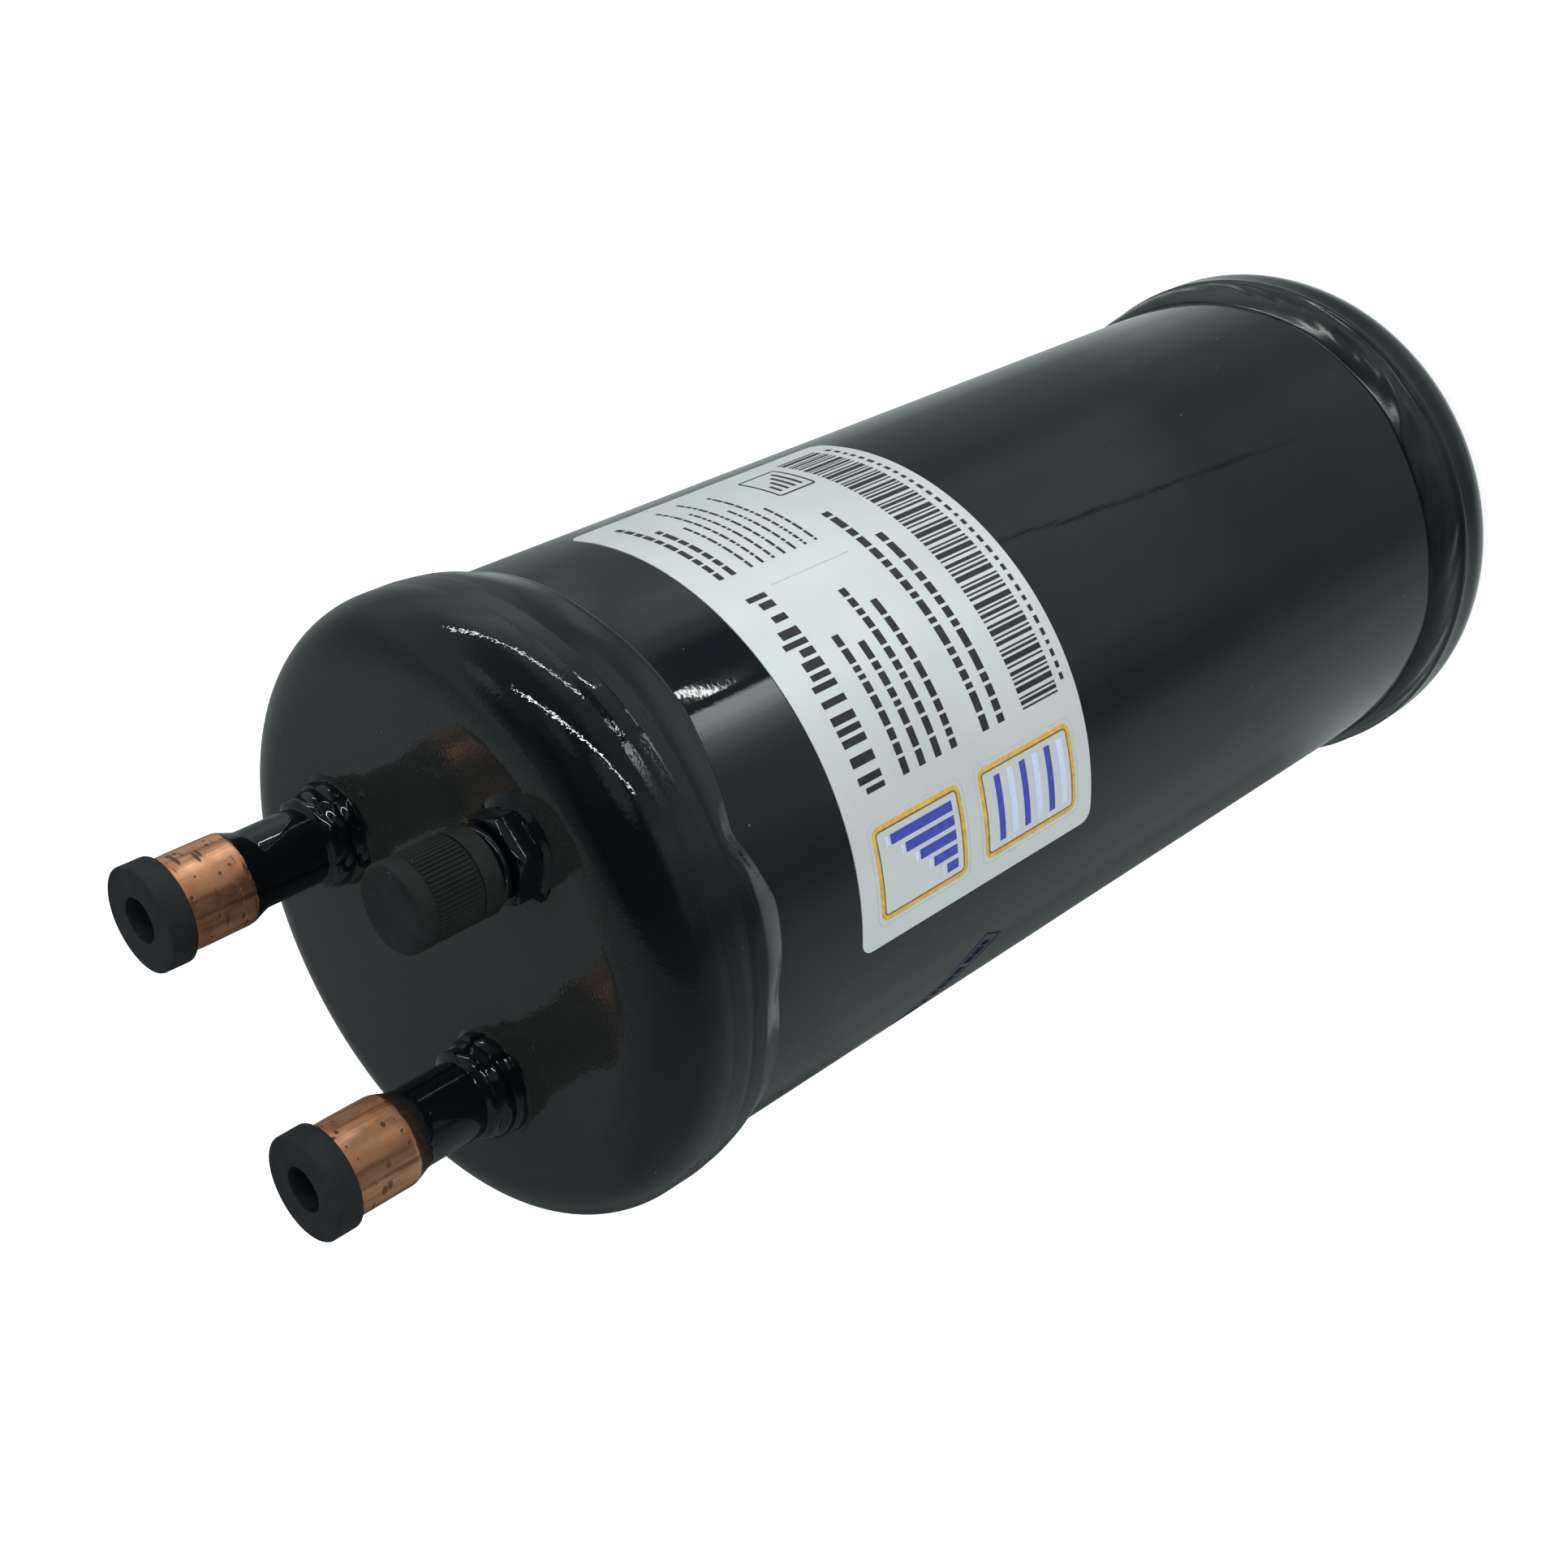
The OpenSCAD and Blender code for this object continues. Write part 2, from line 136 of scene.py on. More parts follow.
def turned(points, seg, at=(0, 0), closed=True, warp=None):
    """Vertices and faces of a section turned around an upright axis. A section that isn't closed starts and ends on that axis.
    The section runs counter-clockwise with r to the right, so that faces look outwards."""
    p = np.asarray(points, float)
    th = np.arange(seg) * TAU / seg
    t = np.broadcast_to(th, (len(p), seg))
    r = np.repeat(p[:, :1], seg, 1)
    z = np.repeat(p[:, 1:2], seg, 1)
    if warp:
        r, z = warp(r, z, t)
    v = np.stack([at[0] + r * np.cos(t), at[1] + r * np.sin(t), z], -1).reshape(-1, 3)
    faces, ring = [], []
    rows = len(p) if closed else len(p) - 1
    for i in range(rows):
        k = (i + 1) % len(p)
        for j in range(seg):
            l = (j + 1) % seg
            f = [i * seg + j, i * seg + l, k * seg + l, k * seg + j]
            if not closed and i == 0:
                f = [0, k * seg + l, k * seg + j]
            elif not closed and k == len(p) - 1:
                f = [i * seg + j, i * seg + l, k * seg]
            faces.append(f)
            ring.append(i)
    if not closed:  # each end is one vertex on the axis
        keep = np.ones(len(v), bool)
        keep[1:seg] = False
        keep[(len(p) - 1) * seg + 1:] = False
        new = np.cumsum(keep) - 1
        faces = [[int(new[x]) for x in f] for f in faces]
        v = v[keep]
    return v, faces, ring


def waves(seed, ks, amp):
    """A smooth uneven line around the axis: sines of whole wave numbers ks, with about the amplitude amp."""
    g = np.random.RandomState(seed)
    ph = g.uniform(0, TAU, len(ks))
    w = g.uniform(0.6, 1.3, len(ks)) / np.sqrt(np.arange(1, len(ks) + 1))
    w *= amp / math.sqrt(float((w ** 2).sum()) / 2) / 1.6
    return lambda t: sum(a * np.sin(k * t + p) for a, k, p in zip(w, ks, ph))


def smooth01(x):
    x = np.clip(x, 0, 1)
    return x * x * (3 - 2 * x)


# ---------------------------------------------------------------- material helpers
class Mat:
    """A material's node tree, with short ways to add nodes. Lengths are in metres, coordinates are the piece's own."""

    def __init__(self, name):
        self.m = bpy.data.materials.new(name)
        self.m.use_nodes = True
        self.t = self.m.node_tree
        self.b = self.t.nodes["Principled BSDF"]
        self.xyz = self.t.nodes.new("ShaderNodeTexCoord").outputs["Object"]

    def link(self, a, b):
        self.t.links.new(a, b)

    def node(self, kind, ins=None, **props):
        n = self.t.nodes.new(kind)
        for k, v in props.items():
            setattr(n, k, v)
        for k, v in (ins or {}).items():
            s = n.inputs[k]
            if isinstance(v, bpy.types.NodeSocket):
                self.link(v, s)
            else:
                s.default_value = v
        return n

    def mapped(self, scale, loc=(0, 0, 0), rot=(0, 0, 0)):
        return self.node("ShaderNodeMapping", {"Vector": self.xyz, "Scale": scale, "Location": loc, "Rotation": rot}).outputs[0]

    def noise(self, scale, detail=2.0, rough=0.5, vec=None, distort=0.0):
        return self.node("ShaderNodeTexNoise", {"Vector": vec or self.xyz, "Scale": scale, "Detail": detail, "Roughness": rough, "Distortion": distort}).outputs["Fac"]

    def spots(self, scale, radius, share, vec=None, dims="3D"):
        """1 inside round spots: one cell in share carries a spot, up to radius of a cell wide."""
        v = self.node("ShaderNodeTexVoronoi", {"Vector": vec or self.xyz, "Scale": scale, "Randomness": 1.0}, voronoi_dimensions=dims)
        pick = self.node("ShaderNodeSeparateColor", {"Color": v.outputs["Color"]})
        size = self.range(pick.outputs[0], 1 - share, 1.0, 0.0, radius)
        inside = self.math("SUBTRACT", size, v.outputs["Distance"])
        return self.range(inside, 0.0, radius * 0.35, 0.0, 1.0)

    def range(self, v, a, b, c, d):
        return self.node("ShaderNodeMapRange", {"Value": v, "From Min": a, "From Max": b, "To Min": c, "To Max": d}, clamp=True).outputs[0]

    def math(self, op, a, b=None, c=None):
        n = self.node("ShaderNodeMath", operation=op)
        for i, v in enumerate((a, b, c)):
            if v is None:
                continue
            if isinstance(v, bpy.types.NodeSocket):
                self.link(v, n.inputs[i])
            else:
                n.inputs[i].default_value = v
        return n.outputs[0]

    def mix(self, fac, a, b):
        """Colour mix: a or b may be colours or sockets."""
        n = self.node("ShaderNodeMix", data_type="RGBA")
        for s, v in ((n.inputs[0], fac), (n.inputs[6], a), (n.inputs[7], b)):
            if isinstance(v, bpy.types.NodeSocket):
                self.link(v, s)
            elif s is n.inputs[0]:
                s.default_value = v
            else:
                s.default_value = (*v, 1)
        return n.outputs[2]

    def mixf(self, fac, a, b):
        n = self.node("ShaderNodeMix", data_type="FLOAT")
        for s, v in ((n.inputs[0], fac), (n.inputs[2], a), (n.inputs[3], b)):
            if isinstance(v, bpy.types.NodeSocket):
                self.link(v, s)
            else:
                s.default_value = v
        return n.outputs[0]

    def bump(self, *layers):
        """layers: (height socket, height in metres), laid over each other."""
        prev = None
        for h, d in layers:
            n = self.node("ShaderNodeBump", {"Height": h, "Distance": d, "Strength": 1.0})
            if prev is not None:
                self.link(prev, n.inputs["Normal"])
            prev = n.outputs[0]
        self.link(prev, self.b.inputs["Normal"])

    def set(self, **ins):
        for k, v in ins.items():
            s = self.b.inputs[k.replace("_", " ")]
            if isinstance(v, bpy.types.NodeSocket):
                self.link(v, s)
            elif s.type == "RGBA":
                s.default_value = (*v, 1)
            else:
                s.default_value = v


def enamel(name, dark, light, peel=3.0e-6, wave=2.4e-5, settled=None, rough=(0.022, 0.062)):
    """Gloss black enamel: orange peel, slow waves in the coat, faint haze and specks of dust; with settled, a film of dust above that height."""
    k = Mat(name)
    haze = k.noise(45, 3, 0.6)
    dust = k.math("MAXIMUM", k.spots(460, 0.13, 0.07), k.spots(300, 0.055, 0.14))
    tint = k.mix(k.range(haze, 0.35, 0.7, 0, 1), dark, light)
    if settled:
        z = k.node("ShaderNodeSeparateXYZ", {"Vector": k.xyz}).outputs[2]
        film = k.math("MULTIPLY", k.range(z, settled[0], settled[1], 0, 1), k.range(k.noise(60, 4, 0.6), 0.3, 0.7, 0.85, 1.0))
        grain = k.mix(k.range(k.noise(2300, 3, 0.65), 0.36, 0.64, 0, 1), (0.0120, 0.0134, 0.0134), (0.0186, 0.0202, 0.0200))
        tint = k.mix(film, tint, grain)
        k.set(Specular_IOR_Level=k.mixf(film, 0.5, 0.33))
    k.set(Base_Color=k.mix(k.math("MULTIPLY", dust, 0.42), tint, (0.15, 0.16, 0.155)))
    k.set(Roughness=k.math("MAXIMUM", k.range(k.noise(70, 4, 0.65), 0.3, 0.75, rough[0], rough[1]), k.math("MULTIPLY", dust, 0.4)))
    k.set(IOR=1.5)
    k.bump((k.noise(75, 1.0), wave), (k.noise(1450, 1.0, 0.5), peel))
    return k.m


def copper(name, centre, oxide=False, ticks=False):
    """Satin drawn copper: soft bands along the tube, stains, pits and short ticks; with oxide, a brown band under the socket."""
    k = Mat(name)
    c = tuple(-x * MM for x in centre) + (0,)
    along = k.mapped((1, 1, 0.16), c)
    across = k.mapped((0.35, 0.35, 1.5), c)
    band = k.noise(230, 2.5, 0.55, along)
    stain = k.noise(160, 4, 0.62, k.mapped((1, 1, 1), (0.31, 0.12, 0.07)))
    base = k.mix(k.range(band, 0.34, 0.66, 0, 1), (0.60, 0.265, 0.130), (0.92, 0.490, 0.280))
    base = k.mix(k.range(stain, 0.50, 0.74, 0, 0.62), base, (0.38, 0.150, 0.070))
    streak = k.noise(520, 3, 0.6, k.mapped((1, 1, 0.07), c))
    base = k.mix(k.range(streak, 0.52, 0.70, 0, 0.75), base, (0.25, 0.090, 0.042))
    pit = k.spots(430, 0.27, 0.50, k.node("ShaderNodeMapping", {"Vector": k.xyz, "Rotation": (math.pi / 2, 0, 0.3)}).outputs[0], "2D")
    small = k.spots(800, 0.30, 0.24)
    marks = k.math("MAXIMUM", pit, k.math("MULTIPLY", small, 0.7))
    if ticks:
        tick = k.spots(540, 0.56, 0.60, k.node("ShaderNodeMapping", {"Vector": k.xyz, "Scale": (0.5, 0.5, 2.2), "Rotation": (0.12, 0.22, 0)}).outputs[0])
        marks = k.math("MAXIMUM", k.math("MULTIPLY", tick, 0.85), k.math("MULTIPLY", marks, 0.70))
    marks = k.math("MINIMUM", k.math("MULTIPLY", marks, 2.2), 1.0)
    base = k.mix(k.math("MULTIPLY", marks, 0.92), base, (0.045, 0.020, 0.013))
    rough = k.range(k.noise(340, 3, 0.6, across), 0.3, 0.7, 0.37, 0.52)
    metal = k.range(marks, 0.2, 0.9, 1.0, 0.35)
    if oxide:
        z = k.node("ShaderNodeSeparateXYZ", {"Vector": k.xyz}).outputs[2]
        edge = k.math("ADD", z, k.math("MULTIPLY", k.math("SUBTRACT", k.noise(420, 4, 0.6), 0.5), 0.0011))
        ox = k.range(edge, 0.2639, 0.2646, 1.0, 0.0)
        crust = k.noise(1300, 4, 0.7)
        brown = k.mix(k.range(crust, 0.38, 0.72, 0, 1), (0.013, 0.008, 0.006), (0.060, 0.027, 0.013))
        char = k.range(k.math("ADD", z, k.math("MULTIPLY", k.math("SUBTRACT", k.noise(900, 4, 0.65), 0.5), 0.0030)), 0.2614, 0.2632, 1.0, 0.0)
        base = k.mix(ox, base, k.mix(char, brown, (0.0042, 0.0050, 0.0058)))
        rough = k.mixf(ox, rough, 0.62)
        metal = k.mixf(ox, metal, 0.15)
    k.set(Base_Color=base, Roughness=rough, Metallic=metal)
    k.bump((k.noise(95, 1.5, 0.5, along), 5e-5), (marks, -4e-5), (k.noise(2600, 2, 0.6, across), 3e-6))
    return k.m


def rubber(name):
    """Matt moulded rubber: fine grain, paler bloom and dust."""
    k = Mat(name)
    bloom = k.noise(130, 4, 0.65)
    base = k.mix(k.range(bloom, 0.35, 0.7, 0, 1), (0.0082, 0.0096, 0.0116), (0.0142, 0.0164, 0.0188))
    dust = k.spots(620, 0.15, 0.07)
    k.set(Base_Color=k.mix(k.math("MULTIPLY", dust, 0.6), base, (0.16, 0.16, 0.15)))
    k.set(Roughness=k.range(k.noise(300, 3, 0.6), 0.3, 0.7, 0.62, 0.80), Specular_IOR_Level=0.35)
    k.bump((k.noise(420, 2, 0.5), 1.6e-5), (k.noise(4200, 2, 0.6), 6e-6))
    return k.m


def plastic(name):
    """Matt moulded plastic with a fine spark-eroded grain, a little shinier where handled."""
    k = Mat(name)
    base = k.mix(k.range(k.noise(210, 4, 0.6), 0.35, 0.7, 0, 1), (0.0082, 0.0096, 0.0098), (0.0124, 0.0141, 0.0142))
    dust = k.spots(760, 0.15, 0.06)
    k.set(Base_Color=k.mix(k.math("MULTIPLY", dust, 0.6), base, (0.16, 0.16, 0.155)))
    k.set(Roughness=k.range(k.noise(160, 3, 0.6), 0.3, 0.7, 0.50, 0.66), Specular_IOR_Level=0.2)
    k.bump((k.noise(3200, 2, 0.6), 9e-6), (k.noise(520, 1.5), 8e-6))
    return k.m


def film(name):
    """Silvery satin label film: slight ripple, rubbed patches and fine grain."""
    k = Mat(name)
    k.set(Base_Color=k.mix(k.range(k.noise(38, 3, 0.55), 0.3, 0.7, 0, 1), (0.65, 0.695, 0.705), (0.71, 0.755, 0.76)))
    k.set(Roughness=k.range(k.noise(120, 4, 0.6), 0.3, 0.7, 0.33, 0.42), Metallic=0.5)
    k.bump((k.noise(85, 2), 2.0e-5), (k.noise(2400, 2, 0.6), 2.5e-6))
    return k.m


def ink(name, a, b, rough=0.42, gloss=0.5, ior=1.5):
    """Printing ink on film: thin and thick patches."""
    k = Mat(name)
    k.set(Base_Color=k.mix(k.range(k.noise(900, 3, 0.6), 0.35, 0.65, 0, 1), a, b))
    k.set(Roughness=k.range(k.noise(300, 3, 0.6), 0.3, 0.7, rough - 0.06, rough + 0.08))
    k.bump((k.noise(2600, 2), 2e-6))
    k.set(Specular_IOR_Level=gloss, IOR=ior)
    return k.m


def metal(name, dark, light, rough=(0.26, 0.46), grain=(1, 1, 0.06), stain=0.45, stained=(0.16, 0.14, 0.12)):
    """Bare worked metal: drawn grain, patches of oil film and stain."""
    k = Mat(name)
    g = k.noise(1500, 3, 0.6, k.mapped(grain))
    base = k.mix(k.range(g, 0.3, 0.7, 0, 1), dark, light)
    base = k.mix(k.range(k.noise(110, 5, 0.65), 0.50, 0.75, 0, stain), base, stained)
    k.set(Base_Color=base, Metallic=1.0)
    k.set(Roughness=k.range(k.noise(150, 4, 0.6), 0.3, 0.7, *rough))
    k.bump((g, 6e-6), (k.noise(240, 2), 1.5e-5))
    return k.m


def magnet_iron(name):
    """Sintered magnet: dark open grain with a few bright crystals."""
    k = Mat(name)
    pores = k.spots(1400, 0.42, 0.5)
    base = k.mix(k.range(k.noise(900, 3, 0.6), 0.35, 0.7, 0, 1), (0.055, 0.055, 0.060), (0.13, 0.13, 0.135))
    k.set(Base_Color=k.mix(k.math("MULTIPLY", pores, 0.7), base, (0.02, 0.02, 0.022)), Metallic=0.55)
    k.set(Roughness=k.range(k.noise(500, 3), 0.3, 0.7, 0.45, 0.7))
    k.bump((pores, -3e-5), (k.noise(1800, 3, 0.6), 1.2e-5))
    return k.m


BLACK = enamel("black_enamel", (0.0050, 0.0068, 0.0088), (0.0070, 0.0087, 0.0104))
BLACK_FACE = enamel("black_enamel_on_face", (0.0020, 0.0029, 0.0040), (0.0036, 0.0046, 0.0058), peel=2.4e-5, settled=(0.2414, 0.2434))
BLACK_SEAM = enamel("black_enamel_on_seam", (0.0040, 0.0054, 0.0070), (0.0058, 0.0073, 0.0088), peel=9e-6, wave=3.0e-5)
BLACK_FAR = enamel("black_enamel_on_far_seam", (0.0040, 0.0054, 0.0070), (0.0058, 0.0073, 0.0088), peel=9e-6, wave=3.0e-5, rough=(0.08, 0.28))
# a darker copy of the same enamel for the stubs, their welds, the fitting and its fillet: its blacker base is painted
# shade on these sideways-facing parts
BLACK_TUBE_PAINTED_SHADE = enamel("black_enamel_on_stubs_painted_shade", (0.0022, 0.0032, 0.0046), (0.0036, 0.0047, 0.0060), wave=2.8e-5)
COPPER_OUT = copper("copper_outlet", OUTLET, ticks=True)
COPPER_IN = copper("copper_inlet", INLET, oxide=True)
RUBBER = rubber("plug_rubber")
PLASTIC = plastic("cap_plastic")
FILM = film("label_film")
INK_BLACK = ink("ink_black", (0.010, 0.010, 0.012), (0.022, 0.022, 0.024))
INK_BLUE = ink("ink_blue", (0.020, 0.030, 0.30), (0.035, 0.050, 0.40))
INK_GOLD = ink("ink_gold", (0.44, 0.26, 0.03), (0.60, 0.40, 0.05), 0.34)
INK_BRONZE = ink("ink_bronze", (0.13, 0.075, 0.018), (0.20, 0.12, 0.03), 0.34)
INK_GREY = ink("ink_grey", (0.36, 0.38, 0.41), (0.42, 0.44, 0.46))
INK_PALE = ink("ink_pale_blue", (0.42, 0.50, 0.68), (0.48, 0.56, 0.72))
INK_STAMP = ink("ink_stamp", (0.008, 0.010, 0.026), (0.014, 0.017, 0.042), 0.6, 0.2, 1.06)
STEEL = metal("bare_steel", (0.42, 0.42, 0.41), (0.60, 0.60, 0.585))
STEEL_FLAT = metal("bare_steel_sheet", (0.44, 0.44, 0.43), (0.58, 0.58, 0.57), (0.30, 0.5), (0.08, 1, 1))
BRASS = metal("brass", (0.60, 0.43, 0.18), (0.80, 0.61, 0.30), (0.22, 0.4), (1, 1, 0.2), 0.35, (0.25, 0.15, 0.06))
TUBE_COPPER = metal("copper_tube", (0.62, 0.29, 0.16), (0.86, 0.47, 0.29), (0.24, 0.4), (1, 1, 0.05), 0.5, (0.26, 0.10, 0.05))
MAGNET = magnet_iron("magnet_iron")


# ---------------------------------------------------------------- shell
sec = refine(rounded([(SHELL_RI, 11.5), (SHELL_R, 11.5, 0.3), (SHELL_R, 232.0, 0.3), (SHELL_RI, 232.0)]), step=4.0)
oval = waves(3, [2, 3, 4], 0.05)
v, f, _ = turned(sec, 360, warp=lambda r, z, t: (r + oval(t + z * 0.004) * smooth01((z - 24) / 20) * smooth01((216 - z) / 20) * smooth01((LABEL_Z0 - 4 - z) / 10), z))
put("shell_body", v, f, [BLACK], "vessel", ["shell"])


# ---------------------------------------------------------------- end caps
def cap_outer(n=26):
    """From the flat face's rim over the knuckle and down to the edge, then up the inside to the flat's underside."""
    rk, rf = KNUCKLE, CAP_R - KNUCKLE
    ri = rk - CAP_WALL
    outer = [(rf + rk * math.sin(a), -rk + rk * math.cos(a)) for a in np.linspace(0, math.pi / 2, n)]
    inner = [(rf + ri * math.sin(a), -rk + ri * math.cos(a)) for a in np.linspace(math.pi / 2, 0, 12)]
    wall = [(CAP_R, -d) for d in np.arange(rk, CAP_H - 0.7, 0.35)]
    edge = rounded([wall[-1], (CAP_R, -CAP_H, 0.45), (SHELL_R, -CAP_H, 0.2), inner[0]], closed=False)
    line = np.vstack([outer[:-1], wall[:-1], edge, inner[1:]])
    return np.vstack([[rf - 0.25, 0], line, [rf - 0.25, -CAP_WALL]])


press = waves(11, [2, 3, 5, 7], 0.10)


def cap_warp(r, z, t):
    """The pressing isn't quite round over its knuckle, and slightly smaller at its edge. z is the distance from the flat face."""
    shrink = 0.09 * smooth01((z - KNUCKLE) / 3.0) + np.abs(press(t)) * 0.5 * smooth01((z - 3.0) / 5.0) * smooth01((CAP_H - 1.0 - z) / 4.0)
    return r - np.where(r > 51.5, shrink, 0), z


def flat_with_holes(ring, holes, n=56):
    """Triangles between an outer ring of points and round holes, in plan."""
    pts = [Vector((float(x), float(y))) for x, y in ring]
    m = len(pts)
    edges = [(i, (i + 1) % m) for i in range(m)]
    loops = []
    for (cx, cy), r in holes:
        s = len(pts)
        pts += [Vector((cx + r * math.cos(TAU * i / n), cy + r * math.sin(TAU * i / n))) for i in range(n)]
        edges += [(s + i, s + (i + 1) % n) for i in range(n)]
        loops.append(list(range(s, s + n)))
    vs, _, fs, src, _, _ = delaunay_2d_cdt(pts, edges, [], 1, 1e-7)
    back = {}
    for i, o in enumerate(src):
        if o:
            back[i] = o[0]
    out = []
    for tri in fs:
        c = sum((vs[i] for i in tri), Vector((0, 0))) / 3
        if any((c - Vector(h)).length < r * 0.999 for h, r in holes):
            continue
        a, b, d = (vs[i] for i in tri)
        tri = tri if (b - a).cross(d - a) > 0 else tri[::-1]
        out.append([back[i] for i in tri])
    return np.array([tuple(p) for p in pts]), out, loops


def top_cap():
    seg = 360
    line = cap_outer()[::-1]  # up the inside last, so that the faces look outwards
    line = line + [0, BODY_H]
    p = np.asarray(line)
    th = np.arange(seg) * TAU / seg
    r, z = np.repeat(p[:, :1], seg, 1), np.repeat(p[:, 1:2], seg, 1)
    r, _ = cap_warp(r, BODY_H - z, np.broadcast_to(th, r.shape))
    v = np.stack([r * np.cos(th), r * np.sin(th), z], -1).reshape(-1, 3)
    faces = [[i * seg + j, i * seg + (j + 1) % seg, (i + 1) * seg + (j + 1) % seg, (i + 1) * seg + j] for i in range(len(p) - 1) for j in range(seg)]
    holes = [(INLET, 6.45), (OUTLET, 6.45), (FITTING, 5.0)]
    top = (len(p) - 1) * seg
    plan, tris, loops = flat_with_holes(v[top:top + seg, :2], holes)
    extra = plan[seg:]
    up = np.c_[extra, np.full(len(extra), BODY_H)]
    down = np.c_[extra, np.full(len(extra), BODY_H - CAP_WALL)]
    n0 = len(v)
    v = np.vstack([v, up, down])
    m = len(extra)
    def at_top(i): return top + i if i < seg else n0 + i - seg
    def at_bottom(i): return i if i < seg else n0 + m + i - seg
    faces += [[at_top(i) for i in t] for t in tris]
    faces += [[at_bottom(i) for i in t[::-1]] for t in tris]
    for loop in loops:
        for i, a in enumerate(loop):
            b = loop[(i + 1) % len(loop)]
            faces.append([at_top(a), at_top(b), at_bottom(b), at_bottom(a)])
    put("top_end_cap", v, faces, [BLACK_FACE], "vessel", ["top_cap"])


top_cap()
line = cap_outer() * [1, -1]  # turned over: the flat face is at the height 0
sec = np.vstack([[0, 0], line, [0, CAP_WALL]])
v, f, _ = turned(sec, 360, closed=False, warp=cap_warp)
put("bottom_end_cap", v, f, [BLACK], "vessel", ["bottom_cap"])


# ---------------------------------------------------------------- girth welds under the paint
def seam(name, node, edge_z, way, width, form, swell, toe_amp, ripple, seed, legs=None, lap=None, over=4.4, mat=None):
    """A broad weld that runs from a cap's edge onto the shell, with slow swells and an uneven toe. A thin skin of it lies over the cap's edge.
    legs: (degrees, length) of the weld along the shell; over: how far the skin reaches over the cap; lap: where the bead starts over its own end, (degrees, extent, height, [(degrees on, distance of the lap's edge)])."""
    leg = CAP_R - SHELL_R - 0.03
    fr = curve(form, 6)
    skin = [(CAP_R - 0.03 - 0.13 * (1 - float(smooth01((d + over) / (over * 0.55)))), d) for d in np.arange(-over, -0.2, 0.3)]
    crown = [(SHELL_R + leg * a, b * width) for a, b in fr]
    line = skin + crown + [(SHELL_R - 0.3, width * 1.02), (SHELL_R - 0.3, 0.3), (CAP_R - 0.5, 0.0), (CAP_R - 0.5, -over)]
    n_out = len(skin) + len(crown)
    p = np.array(line)
    rows = np.arange(len(p))[:, None]
    sw, sw2, toe, lump = waves(seed, [2, 3, 5, 7, 9], swell), waves(seed + 1, [3, 4, 6, 9, 13], swell * 0.8), waves(seed + 2, [3, 4, 6, 9, 14], toe_amp), waves(seed + 3, [17, 22, 29, 37, 46], ripple)

    def warp(r, d, t):
        out = rows < n_out
        u = np.clip(d / width, 0, 1)
        belly = np.sin(np.pi * u) ** 1.2
        late = smooth01((u - 0.30) / 0.4) * smooth01((1.0 - u) / 0.22)
        h = sw(t + 0.12 * u) * belly * 0.75 + sw2(t - 0.10 * u) * late
        h = h + lump(t + 0.35 * u) * np.sin(np.pi * u) * (0.6 + 0.4 * np.sin(9 * u + 3 * t))
        shift = toe(t)
        if legs:
            a, b = zip(*legs)
            shift = shift + np.mean([np.interp(np.degrees(t) + e, a, b, period=360) for e in (-1.5, -0.75, 0, 0.75, 1.5)], axis=0) - width
        if lap:
            on = (lap[0] - np.degrees(t)) % 360
            a, b = zip(*lap[3])
            edge = np.interp(on, a, b) / width
            tent = np.minimum(np.clip((u - edge + 0.28) / 0.28, 0, 1), np.clip((0.96 - u) / (0.96 - edge), 0, 1))
            h = h + lap[2] * tent * smooth01(on / 9) * smooth01((lap[1] - on) / 22)
        d = d + np.where(d > 0, shift * smooth01(u), 0)
        r2 = np.where(out & (u > 0), np.maximum(r + h, SHELL_R - 0.05), r)
        r2 = np.where(out & (u > 0.985), SHELL_R - 0.04, r2)
        return np.minimum(r2, CAP_R - 0.02), edge_z + way * d

    if way < 0:
        p, rows = p[::-1], rows[::-1]
    v, f, _ = turned(p, 720, warp=warp)
    put(name, v, f, [mat or BLACK_SEAM], "vessel", [node], sharp=50)


seam("top_girth_weld", "top_seam_weld", BODY_H - CAP_H, -1, 10.9, [(1.0, 0.0), (0.99, 0.05), (0.965, 0.11), (0.94, 0.19), (0.90, 0.29), (0.82, 0.42), (0.69, 0.56), (0.52, 0.70), (0.35, 0.83), (0.22, 0.93), (0.0, 1.0)], 0.16, 0.25, 0.012, 21,
     [(-180, 10.5), (-165, 10.8), (-148, 10.0), (-137, 9.4), (-130, 10.9), (-121, 11.6), (-112, 9.5), (-107.5, 7.8), (-101, 9.0), (-95, 9.8), (-86, 11.2), (-70, 11.5), (-50, 11.1), (-30, 10.8), (0, 11.3), (60, 10.6), (120, 11.4)],
     (-107, 66, 0.52, [(0, 7.3), (3, 6.8), (11.5, 5.6), (21.5, 4.8), (31, 4.3), (66, 4.3)]))
seam("bottom_girth_weld", "bottom_seam_weld", CAP_H, 1, 9.7, [(1.0, 0.0), (0.97, 0.04), (0.87, 0.11), (0.81, 0.20), (0.77, 0.36), (0.67, 0.55), (0.46, 0.75), (0.18, 0.92), (0.0, 1.0)], 0.18, 0.6, 0.15, 41, over=1.4, mat=BLACK_FAR)


